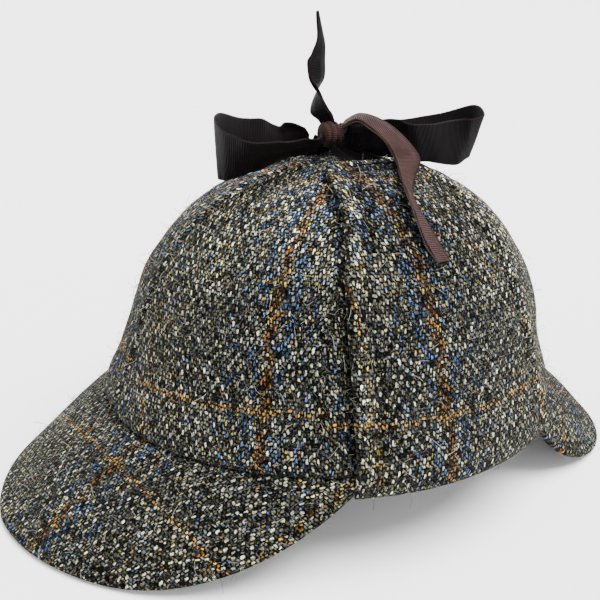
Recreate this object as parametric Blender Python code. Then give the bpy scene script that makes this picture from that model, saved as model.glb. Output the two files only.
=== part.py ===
"""A tweed deerstalker hat with both ear flaps tied up over the crown in a ribbon bow.

The hat faces -Y, its wearer's left is +X and up is +Z. It rests on the lower edges of its
two peaks, which are pressed flat at z = 0. The origin is the middle of its footprint.

Angles run round the head from the front middle: 0 is the front, 90 the wearer's left side
and 180 the back. A height share runs from 0 at the crown's lower edge to 1 at its top.
"""
from math import atan2, cos, exp, pi, radians, sin

import bmesh
import bpy
from mathutils import Vector

# Crown
RIM_HALF_LENGTH = 0.1087
RIM_HALF_WIDTH = 0.0903
RIM_HEIGHT = 0.0386
RIM_RISE = 0.001
CROWN_HEIGHT = 0.1039
CROWN_LEAN = -0.0002
CROWN_CLOTH = 0.0025
FLARE = 0.068
FLARE_REACH = 0.017
SHOULDER = 2.31
ROUNDNESS = 2.32
REAR_FULLNESS = 0.033
GORES = 6
SEAM_DEPTH = 0.001
GORE_SHARES = (0.0, 0.05, 0.18, 0.34, 0.5, 0.66, 0.82, 0.95)
CROWN_LEVELS = (0.0, 0.04, 0.08, 0.125, 0.18, 0.26, 0.36, 0.46, 0.56, 0.66, 0.75, 0.83,
                0.89, 0.935, 0.965, 0.985)

# Peaks, front and rear
PEAK_CLOTH = 0.003
PEAK_BEND = 1.2
SOLE_LIFT = 0.0005
FRONT_PEAK_DEPTH = 0.0457
FRONT_PEAK_ANGLE = 69.7
REAR_PEAK_DEPTH = 0.0435
REAR_PEAK_ANGLE = 55.7
PEAK_COLUMNS = 32
PEAK_ROWS = (0.0, 0.07, 0.2, 0.36, 0.52, 0.68, 0.82, 0.94, 1.0)

# Ear flaps
FLAP_CLOTH = 0.0025
FLAP_HANG = 0.0082
FLAP_ROLL = 1.3
GAP = 0.0004
FLAP_COLUMNS = (0.0, 0.025, 0.08, 0.2, 0.32, 0.44, 0.56, 0.68, 0.8, 0.92, 0.975, 1.0)

# Ribbon and bow
RIBBON_WIDTH = 0.025
RIBBON_CLOTH = 0.001
KNOT_FORWARD = 0.0106
KNOT_SIDE = 0.001
KNOT_LIFT = 0.001
KNOT_LENGTH = 0.0104
KNOT_WIDTH = 0.0124
KNOT_HEIGHT = 0.0114
FRONT_LOOP_LENGTH = 0.041
REAR_LOOP_LENGTH = 0.0693
STANDING_TAIL_LENGTH = 0.0438
FALLING_TAIL_REACH = 0.0642
TAIL_FOLD = 80.0
RIBBON_STEPS = 3

# The ear flap's outline, from its tip down to the rim:
# height share in the middle, height share at the edges, front angle, rear angle
FLAP_OUTLINE = (
    (0.988, 0.980, 40.0, 138.0),
    (0.969, 0.962, 46.0, 132.0),
    (0.938, 0.934, 52.0, 128.0),
    (0.890, 0.888, 58.0, 125.0),
    (0.830, 0.830, 60.8, 122.4),
    (0.750, 0.750, 61.8, 121.0),
    (0.660, 0.660, 62.3, 120.5),
    (0.560, 0.560, 63.1, 120.5),
    (0.460, 0.460, 64.0, 120.8),
    (0.360, 0.360, 65.0, 121.4),
    (0.260, 0.260, 65.8, 122.2),
    (0.180, 0.180, 66.3, 123.0),
    (0.125, 0.125, 66.7, 123.4),
    (0.080, 0.080, 67.0, 123.7),
    (0.040, 0.040, 67.1, 123.9),
    (0.0, 0.0, 67.2, 124.0),
)

# The rolled hem under the rim: share outward between the crown's inside and the flap's
# outside, share of the flap's hang
HEM = ((0.0, 0.05), (0.0, 0.66), (0.22, 0.93), (0.52, 1.0), (0.82, 0.9), (1.0, 0.6))

# Each peak's plan and drop: power along it, power at its tips, share of it that lies
# flat, power with which its edge climbs to the rim
FRONT_PEAK_FORM = (1.54, 0.863, 0.35, 1.76)
REAR_PEAK_FORM = (2.99, 0.6, 0.43, 3.0)

# Bow rows. Every row holds a point over the crown, the direction across the ribbon from
# that edge to the other, and the ribbon's gathered width there:
# out along its length, to the side and up (shares of the ribbon's width),
# across x, across y, across z, width share
FRONT_LOOP = (
    (0.0, 0.074, 0.052, 0.47, -0.1, 0.88, 0.36),
    (0.103, 0.118, 0.028, 0.82, -0.18, 0.55, 0.55),
    (0.34, 0.141, 0.028, 0.82, -0.25, 0.51, 0.75),
    (0.65, 0.19, 0.048, 0.77, -0.28, 0.58, 0.92),
    (0.878, 0.208, 0.119, 0.65, -0.32, 0.69, 1.0),
    (0.985, 0.093, 0.124, 0.42, -0.28, 0.86, 1.0),
    (1.0, -0.111, 0.125, 0.2, -0.2, 0.96, 1.0),
    (0.898, -0.336, 0.096, -0.4, 0.1, 0.9, 1.0),
    (0.66, -0.48, 0.068, -0.74, 0.31, 0.59, 1.0),
    (0.44, -0.44, 0.052, -0.81, 0.36, 0.46, 1.0),
    (0.263, -0.34, 0.036, -0.88, 0.36, 0.3, 0.9),
    (0.139, -0.234, 0.028, -0.82, 0.16, 0.5, 0.7),
    (0.0, -0.1, 0.052, -0.6, -0.1, 0.75, 0.36),
)
REAR_LOOP = (
    (0.0, 0.072, 0.058, 0.2, 0.05, 0.97, 0.38),
    (0.112, 0.1, 0.02, 0.2, -0.05, 0.97, 0.48),
    (0.242, 0.12, 0.02, 0.22, -0.15, 0.95, 0.6),
    (0.4, 0.15, 0.02, 0.32, -0.35, 0.88, 0.8),
    (0.53, 0.18, 0.02, 0.42, -0.48, 0.77, 0.95),
    (0.68, 0.169, 0.02, 0.4, -0.52, 0.76, 1.0),
    (0.886, 0.089, 0.108, 0.29, -0.35, 0.89, 1.0),
    (0.965, 0.0, 0.38, 0.44, -0.39, 0.81, 1.0),
    (1.0, -0.114, 0.5, 0.5, -0.2, 0.84, 1.0),
    (0.965, -0.24, 0.4, -0.05, 0.3, 0.95, 1.0),
    (0.842, -0.318, 0.13, -0.5, 0.42, 0.76, 1.0),
    (0.551, -0.317, 0.036, -0.72, 0.55, 0.42, 1.0),
    (0.332, -0.256, 0.028, -0.71, 0.56, 0.42, 0.8),
    (0.16, -0.176, 0.028, -0.64, 0.45, 0.62, 0.55),
    (0.0, -0.092, 0.06, -0.54, 0.33, 0.78, 0.4),
)
# The tails are folded lengthwise, and their rows follow the fold.
# standing: rise along its length, to the side, to the back
STANDING_TAIL = (
    (-0.012, -0.2, -0.1, 0.85, 0.35, 0.3, 0.64),
    (0.061, -0.344, -0.158, 0.95, 0.1, 0.25, 1.0),
    (0.215, -0.349, -0.069, 0.94, -0.31, 0.14, 1.0),
    (0.381, -0.244, 0.043, 0.49, -0.87, 0.01, 1.0),
    (0.566, -0.217, 0.036, 0.4, -0.91, -0.11, 1.0),
    (0.694, -0.186, 0.011, 0.36, -0.87, -0.33, 0.72),
    (0.821, -0.164, -0.044, 0.45, -0.8, -0.38, 0.36),
    (1.0, -0.134, -0.119, 0.5, -0.8, -0.3, 0.12),
)
# falling: out along its reach, to the back, up
FALLING_TAIL = (
    (0.013, 0.28, 0.51, 0.65, -0.68, -0.34, 0.64),
    (0.067, 0.453, 0.638, 0.77, -0.62, -0.14, 1.0),
    (0.152, 0.64, 0.621, 0.68, -0.69, -0.27, 1.0),
    (0.266, 0.854, 0.477, 0.51, -0.83, -0.24, 1.0),
    (0.422, 1.029, 0.225, 0.05, -1.0, -0.01, 1.0),
    (0.552, 0.744, 0.07, 0.42, -0.91, 0.05, 1.0),
    (0.653, 0.512, 0.025, 0.66, -0.75, 0.11, 1.0),
    (0.773, 0.435, 0.025, 0.61, -0.77, 0.19, 1.0),
    (0.866, 0.479, 0.025, 0.49, -0.86, 0.15, 1.0),
    (0.948, 0.534, 0.025, 0.39, -0.91, 0.17, 1.0),
    (1.011, 0.618, 0.025, 0.39, -0.91, 0.15, 0.88),
)
# tie, from the flap's tip to the knot: out from the knot, middle to the back, up, width
TIE = (
    (0.88, 0.36, -0.01, 0.9),
    (0.8, 0.34, -0.028, 0.88),
    (0.7, 0.32, -0.04, 0.84),
    (0.6, 0.29, -0.03, 0.78),
    (0.5, 0.23, -0.015, 0.68),
    (0.42, 0.17, -0.005, 0.58),
    (0.33, 0.1, 0.02, 0.46),
    (0.265, 0.04, 0.06, 0.4),
    (0.24, 0.0, 0.15, 0.37),
)
TIE_SHARES = (-0.5, -0.3, -0.1, 0.1, 0.3, 0.5)

CROWN_Y = (FRONT_PEAK_DEPTH - REAR_PEAK_DEPTH) / 2
KNOT_Y = CROWN_Y + CROWN_LEAN - KNOT_FORWARD
RIBBON_LIFT = GAP + FLAP_CLOTH + GAP


def cloth_material(name, colour, roughness):
    """A plain Principled material of one colour."""
    material = bpy.data.materials.new(name)
    material.use_nodes = True
    shader = material.node_tree.nodes["Principled BSDF"]
    shader.inputs["Base Color"].default_value = (*colour, 1.0)
    shader.inputs["Roughness"].default_value = roughness
    shader.inputs["Metallic"].default_value = 0.0
    return material


def add_solid(name, points, faces, colour, roughness=0.95):
    """One closed solid from points and faces, smooth where it is round."""
    mesh = bpy.data.meshes.new(name)
    mesh.from_pydata([tuple(point) for point in points], [], faces)
    shape = bmesh.new()
    shape.from_mesh(mesh)
    bmesh.ops.recalc_face_normals(shape, faces=shape.faces)
    shape.to_mesh(mesh)
    shape.free()
    mesh.shade_smooth()
    mesh.set_sharp_from_angle(angle=radians(50))
    mesh.materials.append(cloth_material(name, colour, roughness))
    solid = bpy.data.objects.new(name, mesh)
    bpy.context.collection.objects.link(solid)
    return solid


def strip_faces(first, second, closed=False):
    """Quads between two rows of point numbers of the same length."""
    count = len(first)
    last = count if closed else count - 1
    return [
        (first[i], first[(i + 1) % count], second[(i + 1) % count], second[i])
        for i in range(last)
    ]


def rim_height(angle):
    """Height of the crown's lower edge, which rises a little in front."""
    return RIM_HEIGHT + RIM_RISE * max(cos(angle), 0.0) ** 2


def wall_share(height):
    """The crown's radius at a height share, as a share of the rim's radius."""
    body = max(1.0 - height ** SHOULDER, 0.0) ** (1.0 / ROUNDNESS)
    flare = exp(-((height * CROWN_HEIGHT / FLARE_REACH) ** 2))
    return (1.0 - FLARE) * body + FLARE * flare


def fullness(angle):
    """The crown is a little fuller at the back, as a head is."""
    return 1.0 + REAR_FULLNESS * max(-cos(angle), 0.0) ** 2


def crown_point(angle, height):
    """A point of the crown's outside."""
    share = wall_share(height) * fullness(angle)
    return Vector((
        RIM_HALF_WIDTH * share * sin(angle),
        CROWN_Y - RIM_HALF_LENGTH * share * cos(angle) + CROWN_LEAN * height,
        rim_height(angle) * (1.0 - height) + (RIM_HEIGHT + CROWN_HEIGHT) * height,
    ))


def crown_normal(angle, height):
    """The outward direction at a point of the crown."""
    step = 0.002
    if height > 1.0 - step:
        return Vector((0.0, 0.0, 1.0))
    low = max(height - step, 0.0)
    along = crown_point(angle + step, height) - crown_point(angle - step, height)
    rising = crown_point(angle, height + step) - crown_point(angle, low)
    if height == 0.0:
        rising.x = 0.0
        rising.y = 0.0
    return along.cross(rising).normalized()


def off_crown(angle, height, outward):
    """A point at a distance from the crown's outside; inward where it is negative."""
    return crown_point(angle, height) + crown_normal(angle, height) * outward


def over_crown(x, y, outward):
    """A point at a distance from the crown's top, above a place in plan."""
    across = x / RIM_HALF_WIDTH
    ahead = (CROWN_Y + CROWN_LEAN - y) / RIM_HALF_LENGTH
    angle = atan2(across, ahead)
    share = (across ** 2 + ahead ** 2) ** 0.5 / (1.0 - FLARE) / fullness(angle)
    height = max(1.0 - share ** ROUNDNESS, 0.0) ** (1.0 / SHOULDER)
    point = crown_point(angle, height)
    return point + crown_normal(angle, height) * outward


def make_crown():
    """The hollow crown of six gores, with a shallow groove along each seam."""
    angles = []
    grooves = []
    for gore in range(GORES):
        for share in GORE_SHARES:
            angles.append(2 * pi * (gore + share) / GORES)
            grooves.append(SEAM_DEPTH if share == 0.0 else 0.0)
    points = []
    outer = []
    inner = []
    for height in CROWN_LEVELS:
        outer.append(range(len(points), len(points) + len(angles)))
        points += [off_crown(a, height, -groove) for a, groove in zip(angles, grooves)]
    for height in CROWN_LEVELS:
        inner.append(range(len(points), len(points) + len(angles)))
        points += [off_crown(a, height, -CROWN_CLOTH - SEAM_DEPTH / 2) for a in angles]
    faces = strip_faces(outer[0], inner[0], closed=True)
    for wall, inset in ((outer, 0.0), (inner, CROWN_CLOTH + SEAM_DEPTH / 2)):
        for below, above in zip(wall, wall[1:]):
            faces += strip_faces(below, above, closed=True)
        points.append(off_crown(0.0, 1.0, -inset))
        top = len(points) - 1
        ring = wall[-1]
        faces += [(ring[i], ring[(i + 1) % len(ring)], top) for i in range(len(ring))]
    return add_solid("crown", points, faces, (0.17, 0.17, 0.15))


def flap_section(side, share):
    """One closed section of an ear flap, in a row from inside its tip, round the hem
    under the rim and back up outside to the tip."""
    inside = []
    outside = []
    from_edge = min(share, 1.0 - share)
    for row, (middle, edge, front, rear) in enumerate(FLAP_OUTLINE):
        angle = side * radians(front + (rear - front) * share)
        height = edge + (middle - edge) * (1.0 - (2.0 * share - 1.0) ** 2)
        thickness = FLAP_CLOTH
        if from_edge == 0.0 or row == 0:
            thickness = FLAP_CLOTH * 0.5
        elif from_edge < 0.05:
            thickness = FLAP_CLOTH * FLAP_ROLL
        inside.append(off_crown(angle, height, GAP))
        outside.append(off_crown(angle, height, GAP + thickness))
    outward = Vector((sin(angle) / RIM_HALF_WIDTH, -cos(angle) / RIM_HALF_LENGTH, 0.0))
    outward.normalize()
    hem_width = CROWN_CLOTH + GAP + FLAP_CLOTH
    rim = crown_point(angle, 0.0)
    hem = []
    for out_share, drop_share in HEM:
        out = -CROWN_CLOTH + hem_width * out_share
        hem.append(rim + outward * out - Vector((0.0, 0.0, FLAP_HANG * drop_share)))
    inside_corner = rim + outward * GAP - Vector((0.0, 0.0, GAP))
    hem[0].z = rim.z - GAP
    inside[-1] = inside_corner
    return inside, hem, outside[::-1]


def make_flap(name, side):
    """An ear flap folded up over the crown, its lower edge rolled under the rim."""
    points = []
    rows = []
    for share in FLAP_COLUMNS:
        inside, hem, outside = flap_section(side, share)
        section = inside + hem + outside
        rows.append(range(len(points), len(points) + len(section)))
        points += section
    faces = []
    for first, second in zip(rows, rows[1:]):
        faces += strip_faces(first, second, closed=True)
    tall = len(FLAP_OUTLINE)
    for row in (rows[0], rows[-1]):
        total = len(row)
        for i in range(tall - 1):
            faces.append((row[i], row[i + 1], row[total - 2 - i], row[total - 1 - i]))
        faces.append(tuple(row[tall - 1:tall + len(HEM) + 1]))
    return add_solid(name, points, faces, (0.2, 0.2, 0.17))


def peak_direction(around):
    """The level direction straight out from the rim."""
    outward = Vector((sin(around) / RIM_HALF_WIDTH, -cos(around) / RIM_HALF_LENGTH, 0.0))
    return outward.normalized()


def peak_middle(u, w, back, depth, angle, form):
    """A point of a peak's middle surface: u runs from tip to tip, w from rim to edge."""
    power, tip_power, flat, climb = form
    turn = radians(angle) * u
    around = pi - turn if back else turn
    reach = depth * max(1.0 - abs(u) ** power, 0.0) ** (1.0 / tip_power)
    root = rim_height(around) - GAP - PEAK_CLOTH / 2
    rise = max(abs(u) - flat, 0.0) / (1.0 - flat)
    edge = PEAK_CLOTH / 3 + (root - PEAK_CLOTH / 3) * rise ** climb
    out = -CROWN_CLOTH + w * (reach + CROWN_CLOTH)
    rim = 1.0 + (fullness(around) - 1.0) * (1.0 - w)
    outward = peak_direction(around)
    return Vector((
        RIM_HALF_WIDTH * sin(around) * rim + outward.x * out,
        CROWN_Y - RIM_HALF_LENGTH * cos(around) * rim + outward.y * out,
        root + (edge - root) * w ** PEAK_BEND,
    ))


def pressed(point):
    """The point, set down on the resting surface where it is close to it."""
    if point.z < SOLE_LIFT:
        point.z = 0.0
    return point


def make_peak(name, back, depth, angle, form, end):
    """A stiff peak sewn under the rim, its edge pressed flat where it rests."""
    points = []
    top = []
    bottom = []
    nose = []
    step = 0.01
    up = Vector((0.0, 0.0, 1.0))
    for column in range(PEAK_COLUMNS + 1):
        u = end * (2.0 * column / PEAK_COLUMNS - 1.0)
        upper = []
        lower = []
        for w in PEAK_ROWS:
            middle = peak_middle(u, w, back, depth, angle, form)
            down = peak_middle(u, w + step, back, depth, angle, form)
            down -= peak_middle(u, max(w - step, 0.0), back, depth, angle, form)
            normal = (up - down * (down.z / down.length_squared)).normalized()
            upper.append(middle + normal * PEAK_CLOTH / 2)
            lower.append(pressed(middle - normal * PEAK_CLOTH / 2))
        tip = pressed(middle + down.normalized() * PEAK_CLOTH * 0.35)
        for rows, new in ((top, upper), (nose, [tip]), (bottom, lower[::-1])):
            rows.append(range(len(points), len(points) + len(new)))
            points += new
    rows = [[*a, *b, *c] for a, b, c in zip(top, nose, bottom)]
    faces = []
    for first, second in zip(rows, rows[1:]):
        faces += strip_faces(first, second, closed=True)
    for row in (rows[0], rows[-1]):
        total = len(row)
        for i in range(len(PEAK_ROWS) - 1):
            faces.append((row[i], row[i + 1], row[total - 2 - i], row[total - 1 - i]))
        last = len(PEAK_ROWS) - 1
        faces.append((row[last], row[last + 1], row[last + 2]))
    return add_solid(name, points, faces, (0.15, 0.15, 0.14))


def smooth_between(values, steps):
    """Values along a smooth curve through the given ones, a few steps apart."""
    padded = [values[0], *values, values[-1]]
    result = []
    for a, b, c, d in zip(padded, padded[1:], padded[2:], padded[3:]):
        for step in range(steps):
            t = step / steps
            near = b * 2 + (c - a) * t
            far = (a * 2 - b * 5 + c * 4 - d) * t ** 2 + (b * 3 - a - c * 3 + d) * t ** 3
            result.append((near + far) / 2)
    return result + [values[-1]]


def ribbon_section(foot, across, along, width, folded):
    """The six corners of a ribbon's section, flat or folded lengthwise at its foot."""
    normal = along.cross(across).normalized()
    half = RIBBON_CLOTH / 2
    if not folded:
        middle = foot + across * width / 2
        other = foot + across * width
        return [foot + normal * half, middle + normal * half, other + normal * half,
                other - normal * half, middle - normal * half, foot - normal * half]
    spread = max(cos(radians(TAIL_FOLD)), 1.3 * RIBBON_CLOTH / width)
    reach = (1.0 - spread * spread) ** 0.5
    first = foot + (across * reach + normal * spread) * width / 2
    second = foot + (across * reach - normal * spread) * width / 2
    inside = foot + across * min(half * reach / spread, width * 0.4)
    return [first + normal * half, foot - across * half, second - normal * half,
            second + normal * half, inside, first - normal * half]


def make_ribbon(name, feet, acrosses, widths, folded=False):
    """A length of ribbon that follows its foot points on a smooth curve."""
    feet = smooth_between(feet, RIBBON_STEPS)
    acrosses = smooth_between(acrosses, RIBBON_STEPS)
    widths = smooth_between(widths, RIBBON_STEPS)
    points = []
    rows = []
    for i, (foot, across, width) in enumerate(zip(feet, acrosses, widths)):
        ahead = min(i + 1, len(feet) - 1)
        behind = max(i - 1, 0)
        start = feet[behind] + acrosses[behind] * widths[behind] / 2
        end = feet[ahead] + acrosses[ahead] * widths[ahead] / 2
        along = (end - start).normalized()
        section = ribbon_section(foot, across, along, width, folded)
        rows.append(range(len(points), len(points) + len(section)))
        points += section
    faces = []
    for first, second in zip(rows, rows[1:]):
        faces += strip_faces(first, second, closed=True)
    for row in (rows[0], rows[-1]):
        faces.append((row[0], row[1], row[4], row[5]))
        faces.append((row[1], row[2], row[3], row[4]))
    return add_solid(name, points, faces, (0.05, 0.035, 0.032), roughness=0.6)


def make_loop(name, rows, length, direction):
    """A loop of the bow: out from the knot, round and back, standing on one edge."""
    start = KNOT_Y + direction * (KNOT_LENGTH / 2 + GAP)
    feet = [
        over_crown(side * RIBBON_WIDTH, start + direction * out * length,
                   RIBBON_LIFT + up * RIBBON_WIDTH)
        for out, side, up, *_ in rows
    ]
    acrosses = [Vector(row[3:6]).normalized() for row in rows]
    return make_ribbon(name, feet, acrosses, [row[6] * RIBBON_WIDTH for row in rows])


def knot_top():
    """Distance from the crown to the top of the knot."""
    return RIBBON_LIFT + KNOT_LIFT + KNOT_HEIGHT


def make_standing_tail():
    """The cut end that stands up from the knot."""
    feet = [
        over_crown(KNOT_SIDE + side * RIBBON_WIDTH, KNOT_Y + back * RIBBON_WIDTH,
                   knot_top() + rise * STANDING_TAIL_LENGTH)
        for rise, side, back, *_ in STANDING_TAIL
    ]
    acrosses = [Vector(row[3:6]).normalized() for row in STANDING_TAIL]
    widths = [row[6] * RIBBON_WIDTH for row in STANDING_TAIL]
    return make_ribbon("standing_tail", feet, acrosses, widths, folded=True)


def make_falling_tail():
    """The cut end that arches over and falls down the left ear flap."""
    feet = [
        over_crown(out * FALLING_TAIL_REACH, KNOT_Y + back * RIBBON_WIDTH,
                   RIBBON_LIFT + up * RIBBON_WIDTH)
        for out, back, up, *_ in FALLING_TAIL
    ]
    acrosses = [Vector(row[3:6]).normalized() for row in FALLING_TAIL]
    widths = [row[6] * RIBBON_WIDTH for row in FALLING_TAIL]
    return make_ribbon("falling_tail", feet, acrosses, widths, folded=True)


def make_tie(name, side):
    """The ribbon from an ear flap's tip to the knot, draped over the crown."""
    points = []
    rows = []
    for out, back, up, width in TIE:
        x = KNOT_SIDE + side * out * RIBBON_WIDTH
        lift = RIBBON_LIFT + up * RIBBON_WIDTH
        places = [KNOT_Y + (back + width * share) * RIBBON_WIDTH for share in TIE_SHARES]
        section = [over_crown(x, y, lift) for y in places]
        section += [over_crown(x, y, lift + RIBBON_CLOTH) for y in reversed(places)]
        rows.append(range(len(points), len(points) + len(section)))
        points += section
    faces = []
    for first, second in zip(rows, rows[1:]):
        faces += strip_faces(first, second, closed=True)
    for row in (rows[0], rows[-1]):
        total = len(row)
        for i in range(total // 2 - 1):
            faces.append((row[i], row[i + 1], row[total - 2 - i], row[total - 1 - i]))
    return add_solid(name, points, faces, (0.05, 0.035, 0.032), roughness=0.6)


def make_knot():
    """The knot: a short gathered barrel that lies front to back."""
    centre = over_crown(KNOT_SIDE, KNOT_Y, RIBBON_LIFT + KNOT_LIFT + KNOT_HEIGHT / 2)
    around = 20
    ends = (-1.0, -0.8, -0.45, 0.0, 0.45, 0.8, 1.0)
    points = []
    rows = []
    for end in ends:
        swell = 0.72 + 0.28 * (1.0 - end * end) ** 0.5
        rows.append(range(len(points), len(points) + around))
        for i in range(around):
            turn = 2 * pi * i / around
            pleat = swell * (1.0 - 0.05 * (i % 2))
            x = sin(turn) * pleat * KNOT_WIDTH / 2
            z = cos(turn) * pleat * KNOT_HEIGHT / 2
            points.append(centre + Vector((x, end * KNOT_LENGTH / 2, z)))
    faces = []
    for first, second in zip(rows, rows[1:]):
        faces += strip_faces(first, second, closed=True)
    faces += [tuple(rows[0]), tuple(rows[-1])]
    return add_solid("bow_knot", points, faces, (0.055, 0.04, 0.036), roughness=0.6)


def main():
    for old in list(bpy.data.objects):
        bpy.data.objects.remove(old)
    make_crown()
    front_end = (FLAP_OUTLINE[-1][2] - 0.4) / FRONT_PEAK_ANGLE
    make_peak("front_peak", False, FRONT_PEAK_DEPTH, FRONT_PEAK_ANGLE,
              FRONT_PEAK_FORM, front_end)
    rear_end = (180.0 - FLAP_OUTLINE[-1][3] - 0.4) / REAR_PEAK_ANGLE
    make_peak("rear_peak", True, REAR_PEAK_DEPTH, REAR_PEAK_ANGLE,
              REAR_PEAK_FORM, rear_end)
    make_flap("left_ear_flap", 1)
    make_flap("right_ear_flap", -1)
    make_knot()
    make_loop("front_loop", FRONT_LOOP, FRONT_LOOP_LENGTH, -1)
    make_loop("rear_loop", REAR_LOOP, REAR_LOOP_LENGTH, 1)
    make_standing_tail()
    make_falling_tail()
    make_tie("left_tie", 1)
    make_tie("right_tie", -1)


main()
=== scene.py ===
"""Looks for the tweed deerstalker hat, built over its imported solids.

The hat faces -Y, its wearer's left is +X and it rests on the edges of its two peaks.
Angles run round the head from the front middle, and a height share runs from 0 at the
crown's lower edge to 1 at its top, as in the part's source.
"""

from math import atan2, cos, exp, pi, radians, sin

import bmesh
import bpy
import numpy as np
from mathutils import Matrix, Vector, noise


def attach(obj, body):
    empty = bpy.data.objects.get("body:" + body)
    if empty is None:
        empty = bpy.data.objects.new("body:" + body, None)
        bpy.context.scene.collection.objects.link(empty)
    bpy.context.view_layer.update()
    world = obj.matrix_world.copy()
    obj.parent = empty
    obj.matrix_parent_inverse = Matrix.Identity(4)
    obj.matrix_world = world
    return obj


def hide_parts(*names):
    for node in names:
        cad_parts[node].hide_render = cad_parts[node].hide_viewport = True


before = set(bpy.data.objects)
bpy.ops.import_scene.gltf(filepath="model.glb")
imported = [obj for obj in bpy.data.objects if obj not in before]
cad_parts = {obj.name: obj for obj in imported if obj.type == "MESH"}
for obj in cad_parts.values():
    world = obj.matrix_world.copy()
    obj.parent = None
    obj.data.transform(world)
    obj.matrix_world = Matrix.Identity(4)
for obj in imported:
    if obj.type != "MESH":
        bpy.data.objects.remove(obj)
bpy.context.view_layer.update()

# Sizes of the hat, the same as the part's
RIM_HALF_LENGTH = 0.1087
RIM_HALF_WIDTH = 0.0903
RIM_HEIGHT = 0.0386
RIM_RISE = 0.001
CROWN_HEIGHT = 0.1039
CROWN_LEAN = -0.0002
CROWN_CLOTH = 0.0025
FLARE = 0.068
FLARE_REACH = 0.017
SHOULDER = 2.31
ROUNDNESS = 2.32
REAR_FULLNESS = 0.033
GORES = 6
PEAK_CLOTH = 0.003
PEAK_BEND = 1.2
FRONT_PEAK_DEPTH = 0.0457
FRONT_PEAK_ANGLE = 69.7
REAR_PEAK_DEPTH = 0.0435
REAR_PEAK_ANGLE = 55.7
FLAP_CLOTH = 0.0025
FLAP_HANG = 0.0082
GAP = 0.0004
RIBBON_WIDTH = 0.025
RIBBON_CLOTH = 0.0005
KNOT_FORWARD = 0.0106
KNOT_SIDE = 0.001
KNOT_LIFT = 0.001
KNOT_LENGTH = 0.0104
KNOT_WIDTH = 0.0124
KNOT_HEIGHT = 0.0114
FRONT_LOOP_LENGTH = 0.041
REAR_LOOP_LENGTH = 0.0693
STANDING_TAIL_LENGTH = 0.0438
FALLING_TAIL_REACH = 0.0642

CROWN_Y = (FRONT_PEAK_DEPTH - REAR_PEAK_DEPTH) / 2
KNOT_Y = CROWN_Y + CROWN_LEAN - KNOT_FORWARD
RIBBON_LIFT = GAP + FLAP_CLOTH + GAP

# Tweed, in metres: the pitch of its yarns, its strands, the repeat of its coloured lines, where
# its ochre line lies and how deep the weave stands
WARP_PITCH = 0.00104
PEAK_WARP_PITCH = 0.0008
WEFT_PITCH = 0.00138
STRAND_WIDTH = 0.00044
STRAND_LENGTH = 0.0022
CHECK_WIDTH = 0.084
CHECK_HEIGHT = 0.049
OCHRE_PLACE = -0.028
PEAK_OCHRE_PLACE = 0.026
WEAVE_DEPTH = 0.00045
# Tweed, in shares of a pitch: how far a yarn slants and swells. Strands lean by their own share.
YARN_SLANT = 0.3
YARN_PLUMP = 0.08
STRAND_LEAN = 0.25
# Tweed, in millimetres: how far the weave wanders, over long and over short stretches
WEAVE_DRIFT = 1.5
WEAVE_JITTER = 0.85

# Ribbon: the pitch of its ribs and the width of the painted highlight along its edges in
# millimetres, the ribs' depth in metres
RIB_PITCH = 0.8
RIBBON_HIGHLIGHT_WIDTH = 0.6
RIB_DEPTH = 0.00022

# The ear flap's outline: height share in the middle and at the edges, front and rear angle
FLAP_OUTLINE = (
    (0.988, 0.980, 40.0, 138.0),
    (0.969, 0.962, 46.0, 132.0),
    (0.938, 0.934, 52.0, 128.0),
    (0.890, 0.888, 58.0, 125.0),
    (0.830, 0.830, 60.8, 122.4),
    (0.750, 0.750, 61.8, 121.0),
    (0.660, 0.660, 62.3, 120.5),
    (0.560, 0.560, 63.1, 120.5),
    (0.460, 0.460, 64.0, 120.8),
    (0.360, 0.360, 65.0, 121.4),
    (0.260, 0.260, 65.8, 122.2),
    (0.180, 0.180, 66.3, 123.0),
    (0.125, 0.125, 66.7, 123.4),
    (0.080, 0.080, 67.0, 123.7),
    (0.040, 0.040, 67.1, 123.9),
    (0.0, 0.0, 67.2, 124.0),
)
HEM = ((0.0, 0.05), (0.0, 0.66), (0.22, 0.93), (0.52, 1.0), (0.82, 0.9), (1.0, 0.6))
FRONT_PEAK_FORM = (1.54, 0.863, 0.35, 1.76)
REAR_PEAK_FORM = (2.99, 0.6, 0.43, 3.0)

# Bow rows: out along the length, to the side, up, the direction across, and the width. They
# are the part's, but the rear loop hangs lower near the knot and the falling tail is wider.
FRONT_LOOP = (
    (0.0, 0.074, 0.052, 0.47, -0.1, 0.88, 0.36),
    (0.103, 0.118, 0.028, 0.82, -0.18, 0.55, 0.55),
    (0.34, 0.141, 0.028, 0.82, -0.25, 0.51, 0.75),
    (0.65, 0.19, 0.048, 0.77, -0.28, 0.58, 0.92),
    (0.878, 0.208, 0.119, 0.65, -0.32, 0.69, 1.0),
    (0.985, 0.093, 0.124, 0.42, -0.28, 0.86, 1.0),
    (1.0, -0.111, 0.125, 0.2, -0.2, 0.96, 1.0),
    (0.898, -0.336, 0.096, -0.4, 0.1, 0.9, 1.0),
    (0.66, -0.48, 0.068, -0.74, 0.31, 0.59, 1.0),
    (0.44, -0.44, 0.052, -0.81, 0.36, 0.46, 1.0),
    (0.263, -0.34, 0.036, -0.88, 0.36, 0.3, 0.9),
    (0.139, -0.234, 0.028, -0.82, 0.16, 0.5, 0.7),
    (0.0, -0.1, 0.052, -0.6, -0.1, 0.75, 0.36),
)
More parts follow.
